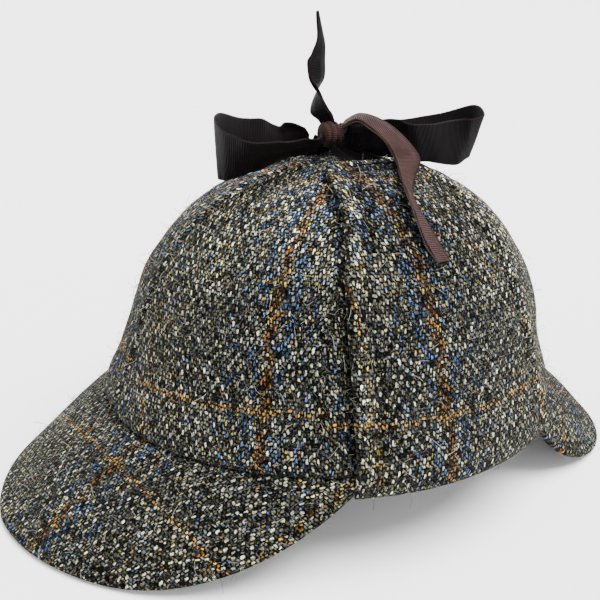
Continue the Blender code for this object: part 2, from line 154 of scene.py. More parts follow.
REAR_LOOP = (
    (0.0, 0.072, 0.058, 0.2, 0.05, 0.97, 0.38),
    (0.112, 0.1, -0.1, 0.2, -0.05, 0.97, 0.52),
    (0.242, 0.12, -0.125, 0.22, -0.15, 0.95, 0.66),
    (0.4, 0.15, -0.125, 0.32, -0.35, 0.88, 0.83),
    (0.53, 0.18, -0.12, 0.42, -0.48, 0.77, 0.95),
    (0.68, 0.169, -0.05, 0.4, -0.52, 0.76, 1.0),
    (0.886, 0.089, 0.108, 0.29, -0.35, 0.89, 1.0),
    (0.965, 0.0, 0.38, 0.44, -0.39, 0.81, 1.0),
    (1.0, -0.114, 0.5, 0.5, -0.2, 0.84, 1.0),
    (0.965, -0.24, 0.4, -0.05, 0.3, 0.95, 1.0),
    (0.842, -0.318, 0.13, -0.5, 0.42, 0.76, 1.0),
    (0.551, -0.317, 0.036, -0.72, 0.55, 0.42, 1.0),
    (0.332, -0.256, 0.028, -0.71, 0.56, 0.42, 0.8),
    (0.16, -0.176, 0.028, -0.64, 0.45, 0.62, 0.55),
    (0.0, -0.092, 0.06, -0.54, 0.33, 0.78, 0.4),
)
TUCKED_END = (-0.11, -0.1, -0.06, 0.6, 0.5, 0.1, 0.5)
STANDING_TAIL = (
    (-0.012, -0.2, -0.1, 0.85, 0.35, 0.3, 0.64),
    (0.061, -0.344, -0.158, 0.95, 0.1, 0.25, 1.0),
    (0.215, -0.349, -0.069, 0.94, -0.31, 0.14, 1.0),
    (0.381, -0.244, 0.043, 0.49, -0.87, 0.01, 1.0),
    (0.566, -0.217, 0.036, 0.4, -0.91, -0.11, 1.0),
    (0.694, -0.186, 0.011, 0.36, -0.87, -0.33, 0.72),
    (0.821, -0.164, -0.044, 0.45, -0.8, -0.38, 0.36),
    (1.0, -0.134, -0.119, 0.5, -0.8, -0.3, 0.12),
)
FALLING_TAIL = (
    (0.013, 0.28, 0.51, 0.65, -0.68, -0.34, 0.64),
    (0.067, 0.453, 0.638, 0.77, -0.62, -0.14, 1.0),
    (0.152, 0.64, 0.621, 0.68, -0.69, -0.27, 1.1),
    (0.266, 0.854, 0.477, 0.51, -0.83, -0.24, 1.15),
    (0.422, 1.029, 0.225, 0.05, -1.0, -0.01, 1.1),
    (0.552, 0.744, 0.07, 0.42, -0.91, 0.05, 1.0),
    (0.653, 0.512, 0.025, 0.66, -0.75, 0.11, 1.0),
    (0.773, 0.435, 0.025, 0.61, -0.77, 0.19, 1.0),
    (0.866, 0.479, 0.025, 0.49, -0.86, 0.15, 1.0),
    (0.948, 0.534, 0.025, 0.39, -0.91, 0.17, 1.0),
    (1.011, 0.618, 0.025, 0.39, -0.91, 0.15, 0.88),
)
# Tie rows: out from the knot, back, up and the width
TIE = (
    (0.88, 0.36, -0.01, 0.9),
    (0.8, 0.34, -0.028, 0.88),
    (0.7, 0.32, -0.04, 0.84),
    (0.6, 0.29, -0.03, 0.78),
    (0.5, 0.23, -0.015, 0.68),
    (0.42, 0.17, -0.005, 0.58),
    (0.33, 0.1, 0.02, 0.46),
    (0.265, 0.04, 0.06, 0.4),
    (0.24, 0.0, 0.15, 0.37),
)

# The floor, level near the hat and rising softly far away, and the light
FLOOR_FLAT = 6.0
FLOOR_BEYOND = 20.0
FLOOR_RISE = 14.0
FLOOR_BEND = 2.5
FLOOR_STEPS = 24
FLOOR_SIDES = 96
WORLD_LIGHT = 0.9
MAIN_LIGHT = 10.5
MAIN_SOFTNESS = 50.0
MAIN_FROM = (0.2, 0.28, 1.0)

# The camera, solved from the photograph
LENS = 47.21
CAMERA_AZIMUTH = 58.666
CAMERA_ELEVATION = 20.413
CAMERA_ROLL = 3.467
CAMERA_DISTANCE = 0.3959
CAMERA_TARGET = (-0.03165, CROWN_Y - 0.0013, 0.0642)


# Shape of the hat

def rim_height(angle):
    """Height of the crown's lower edge."""
    return RIM_HEIGHT + RIM_RISE * max(cos(angle), 0.0) ** 2


def fullness(angle):
    """The crown is a little fuller at the back."""
    return 1.0 + REAR_FULLNESS * max(-cos(angle), 0.0) ** 2


def wall_share(height):
    """The crown's radius at a height share, as a share of the rim's radius."""
    body = max(1.0 - height ** SHOULDER, 0.0) ** (1.0 / ROUNDNESS)
    flare = exp(-((height * CROWN_HEIGHT / FLARE_REACH) ** 2))
    return (1.0 - FLARE) * body + FLARE * flare


def crown_point(angle, height):
    """A point of the crown's outside."""
    share = wall_share(height) * fullness(angle)
    return Vector((
        RIM_HALF_WIDTH * share * sin(angle),
        CROWN_Y - RIM_HALF_LENGTH * share * cos(angle) + CROWN_LEAN * height,
        rim_height(angle) * (1.0 - height) + (RIM_HEIGHT + CROWN_HEIGHT) * height,
    ))


def crown_normal(angle, height):
    """The outward direction at a point of the crown."""
    step = 0.002
    if height > 1.0 - step:
        return Vector((0.0, 0.0, 1.0))
    low = max(height - step, 0.0)
    along = crown_point(angle + step, height) - crown_point(angle - step, height)
    rising = crown_point(angle, height + step) - crown_point(angle, low)
    if height == 0.0:
        rising.x = 0.0
        rising.y = 0.0
    return along.cross(rising).normalized()


def straight_out(angle):
    """The level direction straight out from the crown's lower edge."""
    outward = Vector((sin(angle) / RIM_HALF_WIDTH, -cos(angle) / RIM_HALF_LENGTH, 0.0))
    return outward.normalized()


def over_crown(x, y, outward):
    """A point at a distance from the crown's top, above a place in plan."""
    across = x / RIM_HALF_WIDTH
    ahead = (CROWN_Y + CROWN_LEAN - y) / RIM_HALF_LENGTH
    angle = atan2(across, ahead)
    share = (across ** 2 + ahead ** 2) ** 0.5 / (1.0 - FLARE) / fullness(angle)
    height = max(1.0 - share ** ROUNDNESS, 0.0) ** (1.0 / SHOULDER)
    return crown_point(angle, height) + crown_normal(angle, height) * outward


# Length up the crown's wall from the rim, at evenly spaced height shares
WALL_STEPS = 400
_wall = [crown_point(pi / 2, i / WALL_STEPS) for i in range(WALL_STEPS + 1)]
WALL_LENGTH = np.concatenate(
    ([0.0], np.cumsum([(b - a).length for a, b in zip(_wall, _wall[1:])]))
)


def wall_length(height):
    """Length up the wall from the rim to a height share."""
    return float(np.interp(height, np.linspace(0.0, 1.0, WALL_STEPS + 1), WALL_LENGTH))


def height_at(length):
    """The height share that lies a length up the wall."""
    return float(np.interp(length, WALL_LENGTH, np.linspace(0.0, 1.0, WALL_STEPS + 1)))


def radius_at(height):
    """The crown's mean radius in plan at a height share."""
    return wall_share(height) * (RIM_HALF_LENGTH + RIM_HALF_WIDTH) / 2


def ripples(point, waves):
    """A soft, fixed unevenness of sewn cloth, from waves of a size and a strength each."""
    return sum(noise.noise(point / size) * strength for size, strength in waves)


# Mesh making

class Cloth:
    """Collects grids of points with their places on the cloth, and makes one mesh."""

    def __init__(self):
        self.points = []
        self.faces = []
        self.places = []
        self.tone_and_painted_light = []

    def grid(self, rows, places, flip=False, tone_and_painted_light=None):
        """Adds a grid. rows holds rows of points, and places their places on the cloth."""
        base = len(self.points)
        width = len(rows[0])
        for row in rows:
            self.points.extend(tuple(point) for point in row)
        flat = [place for row in places for place in row]
        painted_light_values = [w for row in tone_and_painted_light for w in row] if tone_and_painted_light else [0.0] * len(flat)
        for i in range(len(rows) - 1):
            for j in range(width - 1):
                a = i * width + j
                quad = [a, a + 1, a + 1 + width, a + width]
                if flip:
                    quad.reverse()
                self.faces.append([base + k for k in quad])
                self.places.append([flat[k] for k in quad])
                self.tone_and_painted_light.append([painted_light_values[k] for k in quad])

    def finish(self, name, material, merge=2e-6):
        """The joined mesh as an object, with its normals facing out."""
        mesh = bpy.data.meshes.new(name)
        mesh.from_pydata(self.points, [], self.faces)
        layer = mesh.attributes.new("cloth", "FLOAT_VECTOR", "CORNER")
        flat = np.zeros((len(mesh.loops), 3), np.float32)
        k = 0
        for quad in self.places:
            for place in quad:
                flat[k, :len(place)] = place
                k += 1
        layer.data.foreach_set("vector", flat.ravel())
        # Each corner's painted light and shade: above 0 painted paler where light falls, below 0
        # painted shade
        painted_light_values = np.zeros((len(mesh.loops), 3), np.float32)
        painted_light_values[:, 0] = [w for quad in self.tone_and_painted_light for w in quad]
        mesh.attributes.new("tone_and_painted_light", "FLOAT_VECTOR", "CORNER").data.foreach_set(
            "vector", painted_light_values.ravel())
        shape = bmesh.new()
        shape.from_mesh(mesh)
        bmesh.ops.remove_doubles(shape, verts=shape.verts, dist=merge)
        bmesh.ops.dissolve_degenerate(shape, edges=shape.edges, dist=merge / 2)
        bmesh.ops.recalc_face_normals(shape, faces=shape.faces)
        shape.to_mesh(mesh)
        shape.free()
        mesh.shade_smooth()
        mesh.materials.append(material)
        made = bpy.data.objects.new(name, mesh)
        bpy.context.scene.collection.objects.link(made)
        return made


def between(a, b, c, d, t):
    """The value a share t of the way from b to c, on a smooth curve through all four."""
    near = b * 2 + (c - a) * t
    far = (a * 2 - b * 5 + c * 4 - d) * t ** 2 + (b * 3 - a - c * 3 + d) * t ** 3
    return (near + far) / 2


def smooth_between(values, steps):
    """Values along a smooth curve through the given ones."""
    padded = [values[0], *values, values[-1]]
    result = []
    for four in zip(padded, padded[1:], padded[2:], padded[3:]):
        result.extend(between(*four, step / steps) for step in range(steps))
    return result + [values[-1]]


# Materials

class Sums:
    """Short names for the shader nodes that a material is worked out with."""

    def __init__(self, material):
        self.tree = material.node_tree
        self.shader = self.tree.nodes["Principled BSDF"]

    def put(self, socket, value):
        if isinstance(value, bpy.types.NodeSocket):
            self.tree.links.new(value, socket)
        elif value is not None:
            socket.default_value = value

    def math(self, what, a, b=None, c=None):
        node = self.tree.nodes.new("ShaderNodeMath")
        node.operation = what
        for socket, value in zip(node.inputs, (a, b, c)):
            self.put(socket, value)
        return node.outputs[0]

    def vector(self, what, a, b=None):
        node = self.tree.nodes.new("ShaderNodeVectorMath")
        node.operation = what
        self.put(node.inputs[0], a)
        if what == "SCALE":
            self.put(node.inputs["Scale"], b)
        else:
            self.put(node.inputs[1], b)
        return node.outputs[0]

    def join(self, x, y, z=0.0):
        node = self.tree.nodes.new("ShaderNodeCombineXYZ")
        for socket, value in zip(node.inputs, (x, y, z)):
            self.put(socket, value)
        return node.outputs[0]

    def split(self, vector):
        node = self.tree.nodes.new("ShaderNodeSeparateXYZ")
        self.put(node.inputs[0], vector)
        return node.outputs

    def noise(self, vector, scale, detail=1.0, rough=0.5):
        node = self.tree.nodes.new("ShaderNodeTexNoise")
        self.put(node.inputs["Vector"], vector)
        node.inputs["Scale"].default_value = scale
        node.inputs["Detail"].default_value = detail
        node.inputs["Roughness"].default_value = rough
        return node.outputs

    def white(self, vector):
        node = self.tree.nodes.new("ShaderNodeTexWhiteNoise")
        self.put(node.inputs["Vector"], vector)
        return node.outputs

    def mix(self, share, a, b, how="MIX"):
        node = self.tree.nodes.new("ShaderNodeMix")
        node.data_type = "RGBA"
        node.blend_type = how
        self.put(node.inputs[0], share)
        self.put(node.inputs[6], a)
        self.put(node.inputs[7], b)
        return node.outputs[2]

    def choose(self, share, a, b):
        node = self.tree.nodes.new("ShaderNodeMix")
        self.put(node.inputs[0], share)
        self.put(node.inputs[2], a)
        self.put(node.inputs[3], b)
        return node.outputs[0]

    def spread(self, value, low, high, to_low=0.0, to_high=1.0):
        node = self.tree.nodes.new("ShaderNodeMapRange")
        self.put(node.inputs["Value"], value)
        node.inputs["From Min"].default_value = low
        node.inputs["From Max"].default_value = high
        node.inputs["To Min"].default_value = to_low
        node.inputs["To Max"].default_value = to_high
        return node.outputs[0]

    def place(self, name):
        node = self.tree.nodes.new("ShaderNodeAttribute")
        node.attribute_name = name
        return node.outputs["Vector"]

    def bump(self, height, depth, strength=1.0):
        node = self.tree.nodes.new("ShaderNodeBump")
        node.inputs["Strength"].default_value = strength
        node.inputs["Distance"].default_value = depth
        self.put(node.inputs["Height"], height)
        self.put(self.shader.inputs["Normal"], node.outputs[0])


def new_material(name, roughness, gloss=0.04, sheen=0.0, tint=(1, 1, 1)):
    """A material whose constant values sit on its shader."""
    material = bpy.data.materials.new(name)
    material.use_nodes = True
    shader = material.node_tree.nodes["Principled BSDF"]
    shader.inputs["Roughness"].default_value = roughness
    shader.inputs["Specular IOR Level"].default_value = gloss
    shader.inputs["Sheen Weight"].default_value = sheen
    shader.inputs["Sheen Roughness"].default_value = 0.45
    shader.inputs["Sheen Tint"].default_value = (*tint, 1.0)
    return material


# Colours of the tweed's yarns and strands, and of its loose wool
CREAM = (0.37, 0.365, 0.265, 1.0)
COOL = (0.225, 0.255, 0.25, 1.0)
ASH = (0.045, 0.047, 0.046, 1.0)
CHARCOAL = (0.0025, 0.0025, 0.003, 1.0)
RUST = (0.12, 0.047, 0.012, 1.0)
OCHRE = (0.20, 0.105, 0.024, 1.0)
MUSTARD = (0.26, 0.21, 0.05, 1.0)
BLUE = (0.034, 0.066, 0.135, 1.0)
DIM = (0.105, 0.108, 0.098, 1.0)
STRAY = (0.20, 0.195, 0.16, 1.0)
PALE_WOOL = (0.30, 0.29, 0.24, 1.0)
GREY_WOOL = (0.06, 0.065, 0.065, 1.0)
# Colours of the one ribbon in two painted copies, shaded and lit, each with its body and the
# painted highlight along its edge
SHADED_RIBBON_COLOURS = ((0.0024, 0.0018, 0.0021, 1.0), (0.014, 0.0095, 0.009, 1.0))
LIT_RIBBON_COLOURS = ((0.034, 0.018, 0.0165, 1.0), (0.05, 0.034, 0.032, 1.0))
# Colours of the stage
FLOOR_PAINT = (0.9, 0.9, 0.9, 1.0)
SKY = (1.0, 1.0, 1.0, 1.0)


def tweed(name, ochre_at=OCHRE_PLACE, warp_pitch=WARP_PITCH):
    """Woollen twill of pale and dark warp yarns by turns over a dark weft, with rust, blue,
    ochre and mustard lines in its check, odd coloured strands and stray hairs."""
    material = new_material(name, 0.95, 0.02, 0.025, (0.9, 0.9, 0.8))
    s = Sums(material)
    millimetres = s.vector("SCALE", s.place("cloth"), 1000.0)
    centre = (0.5, 0.5, 0.5)
    drift = s.vector("SUBTRACT", s.noise(millimetres, 0.2, 1.0)[1], centre)
    jitter = s.vector("SUBTRACT", s.noise(millimetres, 0.8, 3.0, 0.6)[1], centre)
    bent = s.vector("ADD", millimetres, s.vector("SCALE", drift, WEAVE_DRIFT))
    bent = s.vector("ADD", bent, s.vector("SCALE", jitter, WEAVE_JITTER))
    x, y, _ = s.split(bent)

    # Which warp and weft yarn a place lies on, which of them is on top, and how high it swells
    v = s.math("DIVIDE", y, WEFT_PITCH * 1000)
    j = s.math("FLOOR", v)
    across_v = s.math("SUBTRACT", v, j)
    slant = s.math("MULTIPLY", s.math("SUBTRACT", across_v, 0.5), YARN_SLANT)
    u = s.math("ADD", s.math("DIVIDE", x, warp_pitch * 1000), slant)
    plump = s.math("COSINE", s.math("MULTIPLY", u, pi))
    u = s.math("MULTIPLY_ADD", plump, YARN_PLUMP, u)
    i = s.math("FLOOR", u)
    across_u = s.math("SUBTRACT", u, i)
    count = s.math("ADD", i, j)
    turn = s.math("FLOOR", s.math("DIVIDE", count, 4.0))
    step = s.math("SUBTRACT", count, s.math("MULTIPLY", turn, 4.0))
    warp = s.math("LESS_THAN", step, 1.5)
    weft = s.math("SUBTRACT", 1.0, warp)
    along_warp = s.math("MULTIPLY", s.math("ADD", step, across_v), 0.5)
    along_weft = s.math("MULTIPLY", s.math("SUBTRACT", s.math("ADD", step, across_u), 2.0), 0.5)
    across = s.choose(warp, across_v, across_u)
    along = s.choose(warp, along_weft, along_warp)
    side = s.math("ABSOLUTE", s.math("MULTIPLY_ADD", across, 2.0, -1.0))
    end = s.math("ABSOLUTE", s.math("MULTIPLY_ADD", along, 2.0, -1.0))
    round_side = s.math("SQRT", s.math("SUBTRACT", 1.0, s.math("POWER", side, 2.0)))
    round_end = s.math("SUBTRACT", 1.0, s.math("POWER", end, 2.5))
    swell = s.math("MULTIPLY", round_side, round_end)

    # Short strands along the yarns
    leaning = s.math("MULTIPLY_ADD", y, -STRAND_LEAN, x)
    strand = s.math("FLOOR", s.math("DIVIDE", leaning, STRAND_WIDTH * 1000))
    begun = s.math("MULTIPLY", s.white(s.join(strand, 3.0, warp))[0], 9.0)
    run = s.math("ADD", s.math("DIVIDE", y, STRAND_LENGTH * 1000), begun)
    bundle = s.white(s.join(strand, s.math("FLOOR", run), s.math("ADD", warp, 5.0)))
    lit = bundle[0]
    shades, kind, _ = s.split(bundle[1])

    # The yarns' own colours
    yarn = s.choose(warp, j, i)
    chance = s.white(s.join(yarn, turn, warp))
    first, second, third = s.split(chance[1])
    tone = chance[0]
    bright = s.mix(shades, COOL, CREAM)
    pale = s.mix(s.math("MULTIPLY_ADD", tone, 0.4, 0.34), ASH, bright)
    middling = s.mix(s.math("MULTIPLY_ADD", tone, 0.5, 0.05), CHARCOAL, DIM)
    dark = s.mix(s.math("MULTIPLY", tone, 0.6), CHARCOAL, DIM)
    odd = s.math("WRAP", i, 2.0, 0.0)
    warp_colour = s.mix(s.math("MULTIPLY", odd, 0.9), pale, dark)
    colour = s.mix(warp, middling, warp_colour)

    # The lines of the check: some of the yarns near a line take its colour
    warp_place = s.math("MULTIPLY", s.math("ADD", i, 0.5), warp_pitch)
    weft_place = s.math("MULTIPLY", s.math("ADD", j, 0.5), WEFT_PITCH)
    width_repeat = s.math("WRAP", warp_place, CHECK_WIDTH / 2, -CHECK_WIDTH / 2)
    height_repeat = s.math("WRAP", weft_place, CHECK_HEIGHT * 1.5, -CHECK_HEIGHT * 0.5)
    off_line = s.math("ABSOLUTE", width_repeat)

    in_warp = s.math("MULTIPLY_ADD", weft, 0.2, warp)
    in_weft = s.math("MULTIPLY_ADD", warp, 0.6, weft)
    for distance, middle, half, keep, yarns, tint in (
            (off_line, 0.0058, 0.0024, 0.66, in_warp, BLUE),
            (off_line, 0.0148, 0.0024, 0.4, in_warp, BLUE),
            (width_repeat, 0.0, 0.0019, 0.85, in_warp, RUST),
            (width_repeat, ochre_at, 0.0012, 0.6, in_warp, OCHRE),
            (height_repeat, 0.0, 0.0013, 0.75, in_weft, OCHRE),
            (height_repeat, CHECK_HEIGHT, 0.0013, 0.5, in_weft, MUSTARD)):
        off = s.math("ABSOLUTE", s.math("SUBTRACT", distance, middle))
        line = s.math("MULTIPLY", s.math("LESS_THAN", off, half), s.math("LESS_THAN", first, keep))
        colour = s.mix(s.math("MULTIPLY", line, yarns), colour, tint)

    # Strands and yarns of an odd colour: those whose chance lies from low to high
    for value, low, high, tint, share in (
            (kind, 0.0, 0.14, MUSTARD, 0.4), (kind, 0.15, 0.22, BLUE, 0.4),
            (second, 0.0, 0.015, RUST, 0.7), (second, 0.02, 0.06, MUSTARD, 0.4),
            (second, 0.16, 0.19, BLUE, 0.6), (third, 0.0, 0.12, CHARCOAL, 0.85),
            (third, 0.93, 1.0, CREAM, 0.5)):
        above = s.math("GREATER_THAN", value, low)
        here = s.math("MULTIPLY", above, s.math("LESS_THAN", value, high))
        colour = s.mix(s.math("MULTIPLY", here, share), colour, tint)

    # Light and dark: fine hairs and broad patches of random tone, painted shade in the hollows
    # between the yarns, and each piece's painted light and shade
    hair_place = s.join(s.math("MULTIPLY", leaning, 3.0), s.math("MULTIPLY", y, 0.6))
    hair = s.noise(hair_place, 1.0, 3.0, 0.7)[0]
    hairs = s.math("MULTIPLY_ADD", s.math("POWER", lit, 2.3), 2.3, 0.03)
    hairs = s.math("MULTIPLY", hairs, s.spread(hair, 0.35, 0.65, 0.6, 1.3))
    # Painted shade in the hollows between the yarns, darkest at each yarn's sides and ends
    yarn_hollow_shade = s.spread(swell, 0.36, 0.95, 0.01, 1.3)
    patch = s.spread(s.noise(millimetres, 0.05, 2.0)[0], 0.3, 0.7, 0.75, 1.25)
    # The piece's painted light and shade, kept on its corners
    tone_and_painted_light = s.split(s.place("tone_and_painted_light"))[0]
    shade = s.math("MULTIPLY", s.math("MULTIPLY", hairs, yarn_hollow_shade), patch)
    shade = s.math("MULTIPLY", shade, s.math("MAXIMUM", s.math("ADD", tone_and_painted_light, 1.0), 0.0))
    colour = s.mix(1.0, colour, s.join(shade, shade, shade), "MULTIPLY")

    # Stray hairs that lie over the weave
    wander = s.noise(millimetres, 0.55, 2.0, 0.6)[0]
    line = s.spread(s.math("ABSOLUTE", s.math("SUBTRACT", wander, 0.5)), 0.004, 0.014, 1.0, 0.0)
    broken = s.spread(s.noise(millimetres, 0.4, 1.0)[1], 0.5, 0.56)
    stray = s.math("MULTIPLY", s.math("MULTIPLY", line, broken), 0.55)
    colour = s.mix(stray, colour, STRAY)
    s.put(s.shader.inputs["Base Color"], colour)
    height = s.math("MULTIPLY_ADD", lit, 0.35, swell)
    s.bump(s.math("MULTIPLY_ADD", stray, 0.8, height), WEAVE_DEPTH)
    return material


def grosgrain(name, colour, edge_highlight):
    """Fine cross-ribbed ribbon with a painted highlight along its edges."""
    material = new_material(name, 0.6, 0.025, 0.004, (0.95, 0.72, 0.66))
    s = Sums(material)
    millimetres = s.vector("SCALE", s.place("cloth"), 1000.0)
    x, y, _ = s.split(millimetres)
    rib = s.spread(s.math("SINE", s.math("MULTIPLY", y, 2 * pi / RIB_PITCH)), -1.0, 1.0)
    thread_place = s.join(s.math("MULTIPLY", x, 1.6), s.math("MULTIPLY", y, 5.0))
    thread = s.noise(thread_place, 1.0, 3.0, 0.6)[0]
    # Broad random tone of the ribbon
    tone_and_painted_light = s.noise(millimetres, 0.12, 3.0)[0]
    tone = s.spread(tone_and_painted_light, 0.3, 0.7, 0.75, 1.25)
    # Painted shade in the hollows between the ribs and painted sheen on their crests
    tone = s.math("MULTIPLY", tone, s.spread(rib, 0.0, 1.0, 0.1, 1.7))
    tone = s.math("MULTIPLY", tone, s.spread(thread, 0.3, 0.7, 0.7, 1.3))
    base = s.mix(1.0, colour, s.join(tone, tone, tone), "MULTIPLY")
    # Painted highlight along both edges of the ribbon
    edge = s.math("GREATER_THAN", s.math("ABSOLUTE", x), RIBBON_WIDTH * 500 - RIBBON_HIGHLIGHT_WIDTH)
    base = s.mix(s.math("MULTIPLY", edge, 0.6), base, edge_highlight)
    s.put(s.shader.inputs["Base Color"], base)
    s.bump(s.math("MULTIPLY_ADD", thread, 0.3, rib), RIB_DEPTH)
    return material


def fibre_material(name, colour):
    """Loose wool, pale with grey parts."""
    material = new_material(name, 0.9)
    s = Sums(material)
    spot = s.noise(s.place("cloth"), 90.0, 1.0)[0]
    s.put(s.shader.inputs["Base Color"],
          s.mix(s.spread(spot, 0.35, 0.65), colour, GREY_WOOL))
    return material


# The crown

CROWN_COLUMNS = 48
CROWN_LEVELS = 120
SEAM_DEPTH = 0.0012
SEAM_HALF = 0.0011
SEAM_RIDGE = 0.0006
SEAM_RIDGE_AT = 0.0035
SEAM_RIDGE_HALF = 0.002
FLAP_SINK = 0.0008
FLAP_SINK_HALF = 0.0025
RIM_TURN = 0.0009
RIM_TURN_REACH = 0.0012
CROWN_INNER = CROWN_CLOTH + 0.0012
LIP_INWARD = 0.0029
LIP_CLOTH = 0.0012
LIP_DROP = 0.0042
# How closely columns crowd to the seams, and levels to the lower edge
SEAM_CROWD = 0.2
LEVEL_CROWD = 1.15
CROWN_WAVES = ((0.028, 0.0012), (0.011, 0.0004))
CROWN_SAG = 0.0006
CROWN_PROUD = 0.0002
# Where the check lies on a gore: to the side and up, and how its upright and level lines lean
CHECK_SIDE = 0.029
CHECK_UP = 0.0225
CHECK_LEAN = 0.13
CHECK_SLANT = 0.05
# How far painted shade darkens the crown, and how much: beside the flaps, in the seams, along the
# edge
SHADE_BESIDE_FLAP = (0.0022, 0.9)
SHADE_IN_SEAM = (0.0012, 0.45)
SHADE_ALONG_EDGE = (0.0016, 0.8)
DARKEST_SHADE = 0.92
# How much painted light makes the crown paler past a height share, where the light from above
# falls
PAINTED_TOP_FROM = 0.6
PAINTED_TOP_OVER = 0.25
PAINTED_TOP_LIGHT = 1.2


def flap_edge_gap(angle, height):
    """Length along the crown from a point to the nearer long edge of the ear flap over it,
    negative under the flap."""
    rows = [row[1] for row in FLAP_OUTLINE[::-1]]
    front = np.interp(height, rows, [row[2] for row in FLAP_OUTLINE[::-1]])
    rear = np.interp(height, rows, [row[3] for row in FLAP_OUTLINE[::-1]])
    if height > rows[-1]:
        return 1.0
    turned = abs((angle + pi) % (2 * pi) - pi)
    past = max(radians(front) - turned, turned - radians(rear))
    return past * radius_at(height)


def seam_gap(angle, height):
    """Length round the crown from a point to the nearest seam."""
    gore = 2 * pi / GORES
    return abs((angle + gore / 2) % gore - gore / 2) * radius_at(height)


def hump(distance, half):
    """A soft hump, 1 at its middle and nearly gone at twice the half width."""
    return exp(-((distance / half) ** 2))


def crown_outside(angle, height):
    """The crown's outer surface, with its sewn seams, turned lower edge and unevenness."""
    distance = seam_gap(angle, height)
    length = wall_length(height)
    fade = min(1.0, (1.0 - height) / 0.02)
    groove = hump(distance, SEAM_HALF) * SEAM_DEPTH
    ridge = hump(distance - SEAM_RIDGE_AT, SEAM_RIDGE_HALF) * SEAM_RIDGE
    gap = flap_edge_gap(angle, height)
    sink = FLAP_SINK * hump(gap, FLAP_SINK_HALF) * min(1.0, length / 0.004)
    turned = RIM_TURN * hump(length, RIM_TURN_REACH)
    point = crown_point(angle, height)
    uneven = ripples(point, CROWN_WAVES) - CROWN_SAG
    rim_fade = min(1.0, height / 0.05)
    out = (ridge - groove) * fade + uneven * rim_fade * fade - SEAM_RIDGE
    return point + crown_normal(angle, height) * (min(out, CROWN_PROUD) - sink - turned)


def crown_painted_light(angle, height):
    """Painted light and shade: paler at the top where the light from above falls, painted shade
    beside the ear flaps, in the seams and along the lower edge.
    """
    from_flap = max(flap_edge_gap(angle, height), 0.0)
    # Painted shade beside the flaps, in the seam grooves and where the crown meets the peaks
    dark = sum(strength * hump(distance, reach) for distance, (reach, strength) in (
        (from_flap, SHADE_BESIDE_FLAP), (seam_gap(angle, height), SHADE_IN_SEAM),
        (wall_length(height), SHADE_ALONG_EDGE)))
    # Painted light on the crown's top
    painted_top = PAINTED_TOP_LIGHT * min(max((height - PAINTED_TOP_FROM) / PAINTED_TOP_OVER, 0.0), 1.0)
    return painted_top - min(dark, DARKEST_SHADE)


def make_crown(material):
    """Six gores, sewn together, the inside of the cloth and a lip round the lower edge."""
    cloth = Cloth()
    rises = [1 - (1 - k / CROWN_LEVELS) ** LEVEL_CROWD for k in range(CROWN_LEVELS)]
    heights = [*(height_at(WALL_LENGTH[-1] * rise) for rise in rises), 1.0]
    for gore in range(GORES):
        middle = 2 * pi * (gore + 0.5) / GORES
        mirror = -1.0 if gore % 2 == 0 else 1.0
        rows, inside, places, tone_and_painted_light, rims = [], [], [], [], []
        for height in heights:
            row, inner, spots, painted_light_values = [], [], [], []
            length = wall_length(height)
            for column in range(CROWN_COLUMNS + 1):
                share = column / CROWN_COLUMNS
                share += SEAM_CROWD * sin(2 * pi * share) / (2 * pi)
                angle = middle + (share - 0.5) * 2 * pi / GORES
                normal = crown_normal(angle, height)
                row.append(crown_outside(angle, height))
                inner.append(crown_point(angle, height) - normal * CROWN_INNER)
                if height == 0.0:
                    rims.append((crown_point(angle, 0.0), normal))
                side = (angle - middle) * radius_at(height)
                across = side - CHECK_SIDE + CHECK_LEAN * length
                spots.append((across * mirror, length - CHECK_UP - CHECK_SLANT * side))
                painted_light_values.append(crown_painted_light(angle, height))
            rows.append(row)
            inside.append(inner)
            places.append(spots)
            tone_and_painted_light.append(painted_light_values)
        cloth.grid(rows, places, tone_and_painted_light=tone_and_painted_light)
        cloth.grid(inside[::2], places[::2], flip=True)
        lip, lip_places = [inside[0]], [places[0]]
        for inward, drop in ((LIP_INWARD + LIP_CLOTH, LIP_DROP), (LIP_INWARD, LIP_DROP),
                             (LIP_INWARD, 0.0)):
            lip.append([rim - out * inward - Vector((0.0, 0.0, drop)) for rim, out in rims])
            lip_places.append([(x, y - drop - inward) for x, y in places[0]])
        lip.append(rows[0])
        lip_places.append(places[0])
        cloth.grid(lip, lip_places, tone_and_painted_light=[tone_and_painted_light[0]] * len(lip))
    return cloth.finish("crown_cloth", material)


# The ear flaps

FLAP_FINE_COLUMNS = 72
FLAP_LEVELS = 110
FLAP_SEAM = 0.0085
FLAP_ROLL = 0.0022
FLAP_BEAD = 0.0011
FLAP_BEAD_AT = 0.0025
FLAP_BEAD_HALF = 0.0026
FLAP_DIP = 0.0006
FLAP_DIP_HALF = 0.0013
FLAP_WAVES = ((0.03, 0.0005), (0.012, 0.0002))
# How far from its edge a flap or a peak starts to be uneven
EVEN_EDGE = 0.01
# Where the check lies on a flap: round the head, to the side, how it leans, and up
FLAP_CHECK_ANGLE = 93.0
FLAP_CHECK_SIDE = 0.008
FLAP_CHECK_LEAN = 0.06
FLAP_CHECK_UP = 0.0205
HEM_TUCK = 0.004
# Painted shade on the ends of the flap's hem
HEM_END_PAINTED_SHADE = -0.5
# Painted light along the flap's edge: a painted highlight on its rolled ridge, painted shade in
# its seam and at the edge itself; how far in, how wide and how much
FLAP_PAINTED_LIGHT = ((0.0035, 0.0022, 0.9), (FLAP_SEAM, 0.0012, -0.4), (0.0, 0.0009, -0.75))


def arch(share):
    """Nothing at either end and 1 in the middle."""
    return 1.0 - (2.0 * share - 1.0) ** 2


def rolled(from_edge, roll):
    """How full a turned edge is at a distance from it: 0 at the edge, 1 past the roll."""
    return (1.0 - (1.0 - min(from_edge / roll, 1.0)) ** 2) ** 0.5


